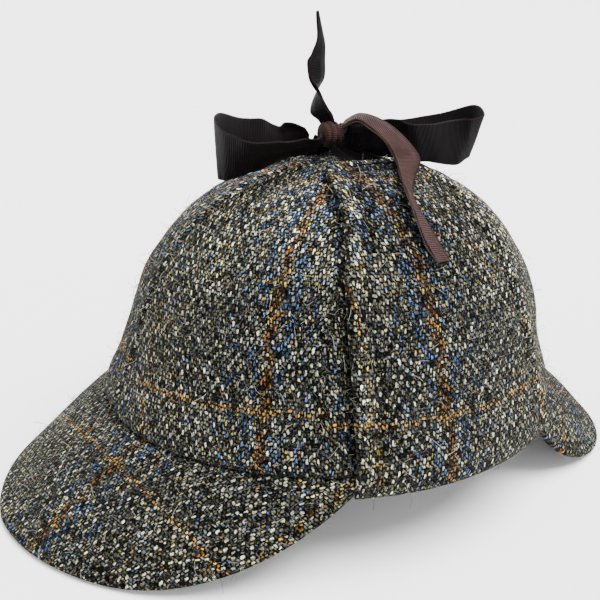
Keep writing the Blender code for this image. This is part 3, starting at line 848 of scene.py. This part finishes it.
def outline_at(height_row):
    """The flap's outline, read at a fractional row of its table."""
    last = len(FLAP_OUTLINE) - 1
    row = min(int(height_row), last - 1)
    rows = (max(row - 1, 0), row, row + 1, min(row + 2, last))
    columns = zip(*(FLAP_OUTLINE[k] for k in rows))
    return [between(*column, height_row - row) for column in columns]


def make_flap(name, side, material):
    """An ear flap of two layers, its edges turned and rolled."""
    cloth = Cloth()
    shares = [0.5 - 0.5 * cos(pi * k / FLAP_FINE_COLUMNS) for k in range(FLAP_FINE_COLUMNS + 1)]
    shares = [0.55 * share + 0.45 * k / FLAP_FINE_COLUMNS for k, share in enumerate(shares)]
    last = len(FLAP_OUTLINE) - 1
    tip_middle, tip_edge = FLAP_OUTLINE[0][:2]
    outer, inner, places, tone_and_painted_light = [], [], [], []
    for level in range(FLAP_LEVELS + 1):
        table_row = last * (level / FLAP_LEVELS)
        middle, edge, front, rear = outline_at(table_row)
        row, back_row, spots, painted_light_values = [], [], [], []
        for share in shares:
            angle = side * radians(front + (rear - front) * share)
            height = min(max(edge + (middle - edge) * arch(share), 0.0), 1.0)
            point = crown_point(angle, height)
            normal = crown_normal(angle, height)
            width = radians(rear - front) * radius_at(height)
            from_edge = min(share, 1.0 - share) * width
            tip_height = tip_edge + (tip_middle - tip_edge) * arch(share)
            from_tip = wall_length(tip_height) - wall_length(height)
            from_edge = min(from_edge, max(from_tip, 0.0))
            rounding = rolled(from_edge, FLAP_ROLL)
            bead = FLAP_BEAD * hump(from_edge - FLAP_BEAD_AT, FLAP_BEAD_HALF)
            dip = FLAP_DIP * hump(from_edge - FLAP_SEAM, FLAP_DIP_HALF)
            # Painted highlight on the rolled ridge, painted shade in the seam and along the very
            # edge
            painted_light_values.append(sum(strength * hump(from_edge - place, reach)
                            for place, reach, strength in FLAP_PAINTED_LIGHT))
            uneven = ripples(point, FLAP_WAVES)
            inward = min(from_edge / EVEN_EDGE, 1.0)
            thick = FLAP_CLOTH * (0.3 + 0.7 * rounding) + bead - dip + uneven * inward
            row.append(point + normal * (GAP + thick))
            back_row.append(point + normal * GAP)
            length = wall_length(height)
            across = (angle - side * radians(FLAP_CHECK_ANGLE)) * radius_at(height)
            across = across * side + FLAP_CHECK_SIDE + FLAP_CHECK_LEAN * length
            spots.append((across, length - FLAP_CHECK_UP))
        outer.append(row)
        inner.append(back_row)
        places.append(spots)
        tone_and_painted_light.append(painted_light_values)
    hem_rows, hem_places = [], []
    steps = smooth_between([Vector((a, b)) for a, b in HEM], 3)
    hem_width = CROWN_CLOTH + GAP + FLAP_CLOTH
    rim_front, rim_rear = FLAP_OUTLINE[-1][2:]
    for out_share, drop_share in steps:
        row, spots = [], []
        for k, share in enumerate(shares):
            angle = side * radians(rim_front + (rim_rear - rim_front) * share)
            out = -CROWN_CLOTH + hem_width * out_share
            drop = FLAP_HANG * drop_share
            level = crown_point(angle, 0.0) + straight_out(angle) * out
            row.append(level - Vector((0.0, 0.0, drop)))
            x, y = places[-1][k]
            spots.append((x, y - drop - (1.0 - out_share) * HEM_TUCK))
        hem_rows.append(row)
        hem_places.append(spots)
    for point in hem_rows[0]:
        point.z += FLAP_HANG * HEM[0][1] - GAP
    for point in inner[-1]:
        point.z -= GAP
    cloth.grid(outer, places, tone_and_painted_light=tone_and_painted_light)
    cloth.grid(inner, places, flip=True)
    cloth.grid([inner[0], outer[0]], [places[0], places[0]])
    cloth.grid([outer[-1], *hem_rows[::-1], inner[-1]],
               [places[-1], *hem_places[::-1], places[-1]])
    for column in (0, -1):
        strip = [[a[column], b[column]] for a, b in zip(outer, inner)]
        spots = [[a[column], a[column]] for a in places]
        cloth.grid(strip, spots)
        loop = [outer[-1][column], *[row[column] for row in hem_rows[::-1]], inner[-1][column]]
        middle = sum(loop, Vector()) / len(loop)
        spot = places[-1][column]
        for a, b in zip(loop, loop[1:] + loop[:1]):
            base = len(cloth.points)
            cloth.points.extend((tuple(a), tuple(b), tuple(middle)))
            cloth.faces.append([base, base + 1, base + 2])
            cloth.places.append([
                (spot[0] + (p - loop[0]).xy.length, spot[1] + p.z - loop[0].z)
                for p in (a, b, middle)])
            # Painted shade on the hem's end
            cloth.tone_and_painted_light.append([HEM_END_PAINTED_SHADE] * 3)
    return cloth.finish(name, material)


# The peaks

PEAK_COLUMNS = 120
PEAK_ROWS = 40
PEAK_ROLL = 0.0018
PEAK_BEAD = 0.0003
PEAK_BEAD_AT = 0.003
PEAK_BEAD_HALF = 0.002
PEAK_WAVES = ((0.03, 0.0006),)
PEAK_PROUD = 0.0004
ROW_CROWD = 1.5
FLOOR_TOUCH = 0.0005
# Where the check lies on a peak, to the side and back, how the front one leans, and the share of
# a fall that counts as length of cloth
FRONT_CHECK = (0.024, -0.1223)
FRONT_CHECK_LEAN = 0.18
REAR_CHECK = (0.035, -0.1)
PEAK_FALL = 0.6
# Degrees between a peak's end and the ear flap's edge
PEAK_END_GAP = 0.4


def peak_middle(u, w, back, depth, angle, form):
    """A point of a peak's middle surface: u runs from tip to tip, w from rim to edge."""
    power, tip_power, flat, climb = form
    turn = radians(angle) * u
    around = pi - turn if back else turn
    reach = depth * max(1.0 - abs(u) ** power, 0.0) ** (1.0 / tip_power)
    root = rim_height(around) - GAP - PEAK_CLOTH / 2
    rise = max(abs(u) - flat, 0.0) / (1.0 - flat)
    edge = PEAK_CLOTH / 3 + (root - PEAK_CLOTH / 3) * rise ** climb
    out = -CROWN_CLOTH + w * (reach + CROWN_CLOTH)
    rim = 1.0 + (fullness(around) - 1.0) * (1.0 - w)
    outward = straight_out(around)
    return Vector((
        RIM_HALF_WIDTH * sin(around) * rim + outward.x * out,
        CROWN_Y - RIM_HALF_LENGTH * cos(around) * rim + outward.y * out,
        root + (edge - root) * w ** PEAK_BEND,
    ))


def make_peak(name, back, depth, angle, form, end, material):
    """A peak of two layers over a stiff core, its edge turned and pressed."""
    cloth = Cloth()
    upper, lower, places = [], [], []
    up = Vector((0.0, 0.0, 1.0))
    step = 0.01
    for row_number in range(PEAK_ROWS + 1):
        w = 1.0 - (1.0 - row_number / PEAK_ROWS) ** ROW_CROWD
        over, under, spots = [], [], []
        for column in range(PEAK_COLUMNS + 1):
            u = end * (2.0 * column / PEAK_COLUMNS - 1.0)
            middle = peak_middle(u, w, back, depth, angle, form)
            down = peak_middle(u, w + step, back, depth, angle, form)
            down -= peak_middle(u, max(w - step, 0.0), back, depth, angle, form)
            normal = (up - down * (down.z / down.length_squared)).normalized()
            edge_point = peak_middle(u, 1.0, back, depth, angle, form)
            from_edge = (edge_point - middle).length
            bead = PEAK_BEAD * hump(from_edge - PEAK_BEAD_AT, PEAK_BEAD_HALF)
            inward = min(from_edge / EVEN_EDGE, 1.0) * min(w * 4, 1.0)
            uneven = min(ripples(middle, PEAK_WAVES) * inward, PEAK_PROUD)
            half = PEAK_CLOTH / 2 * (0.2 + 0.8 * rolled(from_edge, PEAK_ROLL))
            over.append(middle + normal * (half + bead + uneven))
            low = middle - normal * half
            if low.z < FLOOR_TOUCH:
                low.z = 0.0
            under.append(low)
            x, y, z = middle
            fall = (RIM_HEIGHT - z) * PEAK_FALL
            side, length = REAR_CHECK if back else FRONT_CHECK
            if back:
                spots.append((x + side, y + fall + length))
            else:
                spots.append((side - x, fall - y + FRONT_CHECK_LEAN * x + length))
        upper.append(over)
        lower.append(under)
        places.append(spots)
    cloth.grid(upper, places)
    cloth.grid(lower, places, flip=True)
    cloth.grid([upper[-1], lower[-1]], [places[-1], places[-1]])
    cloth.grid([lower[0], upper[0]], [places[0], places[0]])
    for column in (0, -1):
        strip = [[a[column], b[column]] for a, b in zip(upper, lower)]
        spots = [[a[column], a[column]] for a in places]
        cloth.grid(strip, spots)
    return cloth.finish(name, material)


# The ribbon

RIBBON_STEPS = 14
RIBBON_SHARES = (0.0, 0.04, 0.14, 0.3, 0.5, 0.7, 0.86, 0.96, 1.0)
RIBBON_WAVE = 0.0007
RIBBON_GATHER = 0.0022
TAIL_WAVE = 0.0004
# A tail's fold: how far it stands open and how soft its crease is
TAIL_SPREAD = 0.034
TAIL_CREASE = 0.004
TIE_LIFT = 0.0003
TIE_SHARES = tuple(k / 18 for k in range(19))
TIE_PLEAT = 0.0034
TIE_PLEATS = 3
KNOT_SIDES = 120
KNOT_LEVELS = 60
KNOT_PLEATS = 3.5
KNOT_PLEAT = 0.16
KNOT_BLUNT = 3.2
KNOT_ROUND = 0.38
KNOT_TWIST = 0.9
KNOT_LEAN = 0.12
KNOT_NARROW = 0.94


def ribbon_steps(rows, feet):
    """Close steps along a ribbon: its foot, its direction across, its width and the direction
    out of its face."""
    feet = smooth_between(feet, RIBBON_STEPS)
    acrosses = smooth_between([Vector(row[3:6]).normalized() for row in rows], RIBBON_STEPS)
    widths = smooth_between([row[6] * RIBBON_WIDTH for row in rows], RIBBON_STEPS)
    middles = [foot + across * width / 2 for foot, across, width in zip(feet, acrosses, widths)]
    steps = []
    for i, (foot, across, width) in enumerate(zip(feet, acrosses, widths)):
        along = (middles[min(i + 1, len(feet) - 1)] - middles[max(i - 1, 0)]).normalized()
        steps.append((foot, across, width, along.cross(across).normalized()))
    return steps


def woven(name, lines, material, shares=RIBBON_SHARES):
    """A ribbon that follows rows of points: its two faces and all its edges."""
    cloth = Cloth()
    run = run_of(lines)
    front, back, spots = [], [], []
    for i, line in enumerate(lines):
        ahead = lines[min(i + 1, len(lines) - 1)]
        behind = lines[max(i - 1, 0)]
        over, under, row = [], [], []
        for j, point in enumerate(line):
            along = ahead[j] - behind[j]
            across = line[min(j + 1, len(line) - 1)] - line[max(j - 1, 0)]
            normal = along.cross(across).normalized()
            over.append(point + normal * RIBBON_CLOTH / 2)
            under.append(point - normal * RIBBON_CLOTH / 2)
            row.append(((shares[j] - 0.5) * RIBBON_WIDTH, run[i]))
        front.append(over)
        back.append(under)
        spots.append(row)
    cloth.grid(front, spots)
    cloth.grid(back, spots, flip=True)
    cloth.grid([front[0], back[0]], [spots[0], spots[0]])
    cloth.grid([back[-1], front[-1]], [spots[-1], spots[-1]])
    for j in (0, -1):
        cloth.grid([[a[j], b[j]] for a, b in zip(front, back)],
                   [[a[j], a[j]] for a in spots])
    return cloth.finish(name, material)


def run_of(lines):
    """Length along a ribbon at each of its rows."""
    middle = len(lines[0]) // 2
    run = [0.0]
    for a, b in zip(lines, lines[1:]):
        run.append(run[-1] + (b[middle] - a[middle]).length)
    return run


def make_ribbon(name, rows, feet, material, seed):
    """A length of ribbon, gathered at the knot and a little wavy."""
    lines = []
    for i, (foot, across, width, normal) in enumerate(ribbon_steps(rows, feet)):
        gather = (1.0 - min(width / RIBBON_WIDTH, 1.0)) * RIBBON_GATHER
        line = []
        for share in RIBBON_SHARES:
            wave = noise.noise(Vector((i * 0.11, share * 1.3, seed))) * RIBBON_WAVE
            pleat = gather * sin(share * 4 * pi + seed)
            line.append(foot + across * width * share + normal * (wave + pleat))
        lines.append(line)
    return woven(name, lines, material)


def make_tail(name, rows, feet, material, seed):
    """A cut end of ribbon, creased lengthwise."""
    lines = []
    for i, (foot, across, width, normal) in enumerate(ribbon_steps(rows, feet)):
        spread = max(TAIL_SPREAD, 1.3 * RIBBON_CLOTH / width)
        reach = (1.0 - spread * spread) ** 0.5
        line = []
        for share in RIBBON_SHARES:
            side = 2.0 * share - 1.0
            soft = (side * side + TAIL_CREASE) ** 0.5
            wave = noise.noise(Vector((i * 0.09, share, seed))) * TAIL_WAVE * abs(side)
            line.append(foot + (across * reach * soft + normal * spread * side) * width / 2
                        + normal * wave)
        lines.append(line)
    return woven(name, lines, material)


def loop_feet(rows, length, direction):
    """The foot points of a loop over the crown."""
    start = KNOT_Y + direction * (KNOT_LENGTH / 2 + GAP)
    return [
        over_crown(side * RIBBON_WIDTH, start + direction * out * length,
                   RIBBON_LIFT + up * RIBBON_WIDTH)
        for out, side, up, *_ in rows
    ]


def make_tie(name, side, material):
    """The ribbon from an ear flap's tip to the knot, draped over the crown."""
    table = [Vector(row) for row in TIE]
    lines = []
    for out, back, up, width in smooth_between(table, RIBBON_STEPS):
        x = KNOT_SIDE + side * out * RIBBON_WIDTH
        line = []
        for share in TIE_SHARES:
            y = KNOT_Y + (back + width * (share - 0.5)) * RIBBON_WIDTH
            pleat = (1.0 - width) * TIE_PLEAT * sin(share * TIE_PLEATS * pi) ** 2
            lift = RIBBON_LIFT + TIE_LIFT + up * RIBBON_WIDTH + pleat
            line.append(over_crown(x, y, lift))
        lines.append(line)
    return woven(name, lines, material, TIE_SHARES)


def make_knot(material):
    """The knot: ribbon drawn tight round itself in a few deep pleats."""
    centre = over_crown(KNOT_SIDE, KNOT_Y, RIBBON_LIFT + KNOT_LIFT + KNOT_HEIGHT / 2)
    cloth = Cloth()
    rows, places = [], []
    for k in range(KNOT_LEVELS + 1):
        end = -cos(pi * k / KNOT_LEVELS)
        row, spots = [], []
        for i in range(KNOT_SIDES + 1):
            turn = 2 * pi * i / KNOT_SIDES
            swell = max(1.0 - abs(end) ** KNOT_BLUNT, 0.0) ** KNOT_ROUND
            phase = end * KNOT_PLEATS * pi + KNOT_TWIST * sin(turn + 0.6)
            pleat = 1.0 - KNOT_PLEAT * (0.5 + 0.5 * sin(phase)) ** 2
            lean = 1.0 - KNOT_LEAN * end * sin(turn + 0.4)
            size = max(swell, 0.001) * pleat * lean
            x = sin(turn) * size * KNOT_WIDTH / 2 * KNOT_NARROW
            z = cos(turn) * size * KNOT_HEIGHT / 2
            row.append(centre + Vector((x, end * KNOT_LENGTH / 2, z)))
            spots.append((end * KNOT_LENGTH / 2, turn * KNOT_HEIGHT / 2))
        rows.append(row)
        places.append(spots)
    cloth.grid(rows, places)
    return cloth.finish("knot_ribbon", material)


# Loose fibres: their sizes in metres, and how many stand on a square metre

FUZZ = {"Length": 0.0016, "Curl": 0.0011, "Thickness": 0.00005, "Density": 42000.0}
CURLS = {"Length": 0.0026, "Curl": 0.0046, "Thickness": 0.00008, "Density": 12000.0}
FIBRE_ROOT = (0.0, 0.0, -0.0003)
FIBRE_BEND = (0.05, 0.0, 0.85)
FIBRE_LEAN = 0.9
FIBRE_SMALLEST = 0.45
FIBRE_LARGEST = 1.25


def fibre_tree(sizes, material, seed):
    """Geometry Nodes that stand small curved fibres all over a surface."""
    tree = bpy.data.node_groups.new("loose_fibres", "GeometryNodeTree")
    face = tree.interface
    face.new_socket("Geometry", in_out="INPUT", socket_type="NodeSocketGeometry")
    sockets = {}
    for label, value in sizes.items():
        sockets[label] = face.new_socket(label, in_out="INPUT", socket_type="NodeSocketFloat")
        sockets[label].default_value = value
    face.new_socket("Geometry", in_out="OUTPUT", socket_type="NodeSocketGeometry")
    nodes, links = tree.nodes, tree.links
    given = nodes.new("NodeGroupInput")
    out = nodes.new("NodeGroupOutput")

    def node(kind, **settings):
        made = nodes.new(kind)
        for key, value in settings.items():
            setattr(made, key, value)
        return made

    scatter = node("GeometryNodeDistributePointsOnFaces")
    scatter.inputs["Seed"].default_value = seed
    links.new(given.outputs["Geometry"], scatter.inputs["Mesh"])
    links.new(given.outputs["Density"], scatter.inputs["Density"])
    bend = node("GeometryNodeCurveQuadraticBezier")
    bend.inputs["Resolution"].default_value = 4
    bend.inputs["Start"].default_value = FIBRE_ROOT
    top = node("ShaderNodeCombineXYZ")
    links.new(given.outputs["Curl"], top.inputs[0])
    links.new(given.outputs["Length"], top.inputs[2])
    half = node("ShaderNodeVectorMath", operation="MULTIPLY")
    links.new(top.outputs[0], half.inputs[0])
    half.inputs[1].default_value = FIBRE_BEND
    links.new(half.outputs[0], bend.inputs["Middle"])
    links.new(top.outputs[0], bend.inputs["End"])
    profile = node("GeometryNodeCurvePrimitiveCircle")
    profile.inputs["Resolution"].default_value = 3
    links.new(given.outputs["Thickness"], profile.inputs["Radius"])
    tube = node("GeometryNodeCurveToMesh")
    tube.inputs["Fill Caps"].default_value = True
    links.new(bend.outputs["Curve"], tube.inputs["Curve"])
    links.new(profile.outputs["Curve"], tube.inputs["Profile Curve"])
    turn = node("FunctionNodeRandomValue", data_type="FLOAT_VECTOR")
    turn.inputs["Min"].default_value = (-FIBRE_LEAN, -FIBRE_LEAN, 0.0)
    turn.inputs["Max"].default_value = (FIBRE_LEAN, FIBRE_LEAN, 6.283)
    turn.inputs["Seed"].default_value = seed + 1
    local = node("FunctionNodeEulerToRotation")
    links.new(turn.outputs["Value"], local.inputs[0])
    spin = node("FunctionNodeRotateRotation", rotation_space="LOCAL")
    links.new(scatter.outputs["Rotation"], spin.inputs[0])
    links.new(local.outputs[0], spin.inputs[1])
    size = node("FunctionNodeRandomValue", data_type="FLOAT")
    size.inputs["Min"].default_value = FIBRE_SMALLEST
    size.inputs["Max"].default_value = FIBRE_LARGEST
    size.inputs["Seed"].default_value = seed + 2
    place = node("GeometryNodeInstanceOnPoints")
    links.new(scatter.outputs["Points"], place.inputs["Points"])
    links.new(tube.outputs["Mesh"], place.inputs["Instance"])
    links.new(spin.outputs[0], place.inputs["Rotation"])
    links.new(size.outputs[1], place.inputs["Scale"])
    real = node("GeometryNodeRealizeInstances")
    links.new(place.outputs["Instances"], real.inputs["Geometry"])
    paint = node("GeometryNodeSetMaterial")
    paint.inputs["Material"].default_value = material
    links.new(real.outputs["Geometry"], paint.inputs["Geometry"])
    links.new(paint.outputs["Geometry"], out.inputs["Geometry"])
    return tree, sockets


def make_fibres(name, source, keep, sizes, material, seed):
    """Loose wool over the outer faces of a cloth piece."""
    mesh = source.data.copy()
    shape = bmesh.new()
    shape.from_mesh(mesh)
    drop = [face for face in shape.faces if not keep(face.calc_center_median(), face.normal)]
    bmesh.ops.delete(shape, geom=drop, context="FACES")
    shape.to_mesh(mesh)
    shape.free()
    ground = bpy.data.objects.new(name + "_ground", mesh)
    bpy.context.scene.collection.objects.link(ground)
    tree, sockets = fibre_tree(sizes, material, seed)
    modifier = ground.modifiers.new("fibres", "NODES")
    modifier.node_group = tree
    for label, value in sizes.items():
        modifier[sockets[label].identifier] = value
    bpy.context.view_layer.update()
    seen = ground.evaluated_get(bpy.context.evaluated_depsgraph_get())
    made_mesh = bpy.data.meshes.new_from_object(seen)
    made_mesh.name = name
    made = bpy.data.objects.new(name, made_mesh)
    bpy.context.scene.collection.objects.link(made)
    ground.modifiers.remove(modifier)
    bpy.data.objects.remove(ground)
    made_mesh.shade_smooth()
    return made


# The stage

def make_camera():
    """The camera at the photograph's place and angle."""
    data = bpy.data.cameras.new("camera")
    data.sensor_width = 36.0
    data.lens = LENS
    data.clip_start = 0.01
    data.clip_end = 100.0
    camera = bpy.data.objects.new("camera", data)
    bpy.context.scene.collection.objects.link(camera)
    azimuth, elevation = radians(CAMERA_AZIMUTH), radians(CAMERA_ELEVATION)
    roll = radians(CAMERA_ROLL)
    level = Vector((sin(azimuth), -cos(azimuth), 0.0))
    back = level * cos(elevation) + Vector((0.0, 0.0, sin(elevation)))
    right = Vector((cos(azimuth), sin(azimuth), 0.0))
    up = back.cross(right)
    turned_right = right * cos(roll) + up * sin(roll)
    turned_up = up * cos(roll) - right * sin(roll)
    axes = Matrix((turned_right, turned_up, back)).transposed()
    stand = Vector(CAMERA_TARGET) + back * CAMERA_DISTANCE
    camera.matrix_world = Matrix.Translation(stand) @ axes.to_4x4()
    bpy.context.scene.camera = camera


def make_light():
    """One broad, soft light from above, the right and behind."""
    data = bpy.data.lights.new("main_light", "SUN")
    data.energy = MAIN_LIGHT
    data.angle = radians(MAIN_SOFTNESS)
    light = bpy.data.objects.new("main_light", data)
    bpy.context.scene.collection.objects.link(light)
    light.rotation_mode = "QUATERNION"
    light.rotation_quaternion = Vector(MAIN_FROM).to_track_quat("Z", "Y")


def make_stage():
    """A pale floor, a white sky and the light."""
    mesh = bpy.data.meshes.new("floor")
    points = []
    for ring in range(FLOOR_STEPS + 1):
        share = ring / FLOOR_STEPS
        reach = FLOOR_FLAT + FLOOR_BEYOND * share
        rise = FLOOR_RISE * share ** FLOOR_BEND
        for k in range(FLOOR_SIDES):
            turn = 2 * pi * k / FLOOR_SIDES
            points.append((reach * cos(turn), reach * sin(turn), rise))
    faces = [list(range(FLOOR_SIDES))]
    for ring in range(FLOOR_STEPS):
        for k in range(FLOOR_SIDES):
            a = ring * FLOOR_SIDES + k
            b = ring * FLOOR_SIDES + (k + 1) % FLOOR_SIDES
            faces.append([a, a + FLOOR_SIDES, b + FLOOR_SIDES, b])
    mesh.from_pydata(points, [], faces)
    material = new_material("floor_paint", 0.9)
    shader = material.node_tree.nodes["Principled BSDF"]
    shader.inputs["Base Color"].default_value = FLOOR_PAINT
    mesh.materials.append(material)
    floor = bpy.data.objects.new("floor", mesh)
    bpy.context.scene.collection.objects.link(floor)
    world = bpy.data.worlds.new("studio")
    world.use_nodes = True
    sky = world.node_tree.nodes["Background"]
    sky.inputs["Color"].default_value = SKY
    sky.inputs["Strength"].default_value = WORLD_LIGHT
    bpy.context.scene.world = world
    make_light()


def place_piece(piece, slot, *nodes):
    """A finished piece rides on the hat and stands for its solids."""
    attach(piece, "root")
    if nodes:
        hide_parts(*nodes)
    return piece


def wall_area(width_at, low, high):
    """Area of the crown's wall between two height shares, width_at giving its width."""
    steps = 60
    shares = [low + (high - low) * k / steps for k in range(steps + 1)]
    return sum((width_at(a) + width_at(b)) / 2 * (wall_length(b) - wall_length(a))
               for a, b in zip(shares, shares[1:]))


def declare_flap():
    """The area of the crown's wall under an ear flap, which is cut as a tall panel with a rounded
    top; the area is worked out and not used.
    """
    low, high = FLAP_OUTLINE[-1][0], FLAP_OUTLINE[0][0]
    heights = [row[1] for row in FLAP_OUTLINE[::-1]]
    spans = [radians(row[3] - row[2]) for row in FLAP_OUTLINE[::-1]]
    area = wall_area(lambda h: float(np.interp(h, heights, spans)) * radius_at(h), low, high)


def outside(point, normal):
    """Whether a face of the crown or of a flap is on its outside."""
    centre = Vector((0.0, CROWN_Y, RIM_HEIGHT))
    return normal.dot(point - centre) > 0.0


def clear_of_floor(point, normal):
    """Whether a face of a peak stands clear of the floor."""
    return point.z > 0.002


# The hat on its stage

make_camera()
make_stage()

crown_tweed = tweed("crown_tweed")
peak_tweed = tweed("peak_tweed", PEAK_OCHRE_PLACE, PEAK_WARP_PITCH)
flap_tweed = tweed("flap_tweed")
# One ribbon painted twice: a shaded copy for the loops, ties and standing tail, a lit copy for the
# falling tail and the knot
ribbon = grosgrain("shaded_ribbon", *SHADED_RIBBON_COLOURS)
lit_ribbon = grosgrain("lit_ribbon", *LIT_RIBBON_COLOURS)

crown = place_piece(make_crown(crown_tweed), "crown_tweed", "crown")
front_end = (FLAP_OUTLINE[-1][2] - PEAK_END_GAP) / FRONT_PEAK_ANGLE
rear_end = (180.0 - FLAP_OUTLINE[-1][3] - PEAK_END_GAP) / REAR_PEAK_ANGLE
front_peak = place_piece(
    make_peak("front_peak_cloth", False, FRONT_PEAK_DEPTH, FRONT_PEAK_ANGLE,
              FRONT_PEAK_FORM, front_end, peak_tweed), "peak_tweed", "front_peak")
rear_peak = place_piece(
    make_peak("rear_peak_cloth", True, REAR_PEAK_DEPTH, REAR_PEAK_ANGLE,
              REAR_PEAK_FORM, rear_end, peak_tweed), "peak_tweed", "rear_peak")
left_flap = place_piece(
    make_flap("left_flap_cloth", 1, flap_tweed), "flap_tweed", "left_ear_flap")
right_flap = place_piece(
    make_flap("right_flap_cloth", -1, flap_tweed), "flap_tweed", "right_ear_flap")
wall_area(lambda h: 2 * pi * radius_at(h), 0.0, 1.0)
declare_flap()
declare_flap()

front_loop = place_piece(
    make_ribbon("front_loop_ribbon", FRONT_LOOP, loop_feet(FRONT_LOOP, FRONT_LOOP_LENGTH, -1),
                ribbon, 1.7), "ribbon", "front_loop")
rear_loop = place_piece(
    make_ribbon("rear_loop_ribbon", REAR_LOOP, loop_feet(REAR_LOOP, REAR_LOOP_LENGTH, 1),
                ribbon, 4.2), "ribbon", "rear_loop")
knot_top = RIBBON_LIFT + KNOT_LIFT + KNOT_HEIGHT
tucked_tail = (TUCKED_END, *STANDING_TAIL)
standing_feet = [
    over_crown(KNOT_SIDE + side * RIBBON_WIDTH, KNOT_Y + back * RIBBON_WIDTH,
               knot_top + rise * STANDING_TAIL_LENGTH)
    for rise, side, back, *_ in tucked_tail
]
standing_tail = place_piece(
    make_tail("standing_tail_ribbon", tucked_tail, standing_feet, ribbon, 2.1),
    "ribbon", "standing_tail")
falling_feet = [
    over_crown(out * FALLING_TAIL_REACH, KNOT_Y + back * RIBBON_WIDTH,
               RIBBON_LIFT + up * RIBBON_WIDTH)
    for out, back, up, *_ in FALLING_TAIL
]
falling_tail = place_piece(
    make_tail("falling_tail_ribbon", FALLING_TAIL, falling_feet, lit_ribbon, 3.3),
    "ribbon", "falling_tail")
left_tie = place_piece(make_tie("left_tie_ribbon", 1, ribbon), "ribbon", "left_tie")
right_tie = place_piece(make_tie("right_tie_ribbon", -1, ribbon), "ribbon", "right_tie")
knot = place_piece(make_knot(lit_ribbon), "ribbon", "bow_knot")

wool = fibre_material("pale_wool", PALE_WOOL)
for source, title, slot, keep, seed in (
        (crown, "crown", "crown_tweed", outside, 3),
        (left_flap, "left_flap", "flap_tweed", outside, 5),
        (right_flap, "right_flap", "flap_tweed", outside, 7),
        (front_peak, "front_peak", "peak_tweed", clear_of_floor, 9),
        (rear_peak, "rear_peak", "peak_tweed", clear_of_floor, 11)):
    place_piece(make_fibres(title + "_fuzz", source, keep, FUZZ, wool, seed), slot)
    place_piece(make_fibres(title + "_curls", source, keep, CURLS, wool, seed + 20), slot)
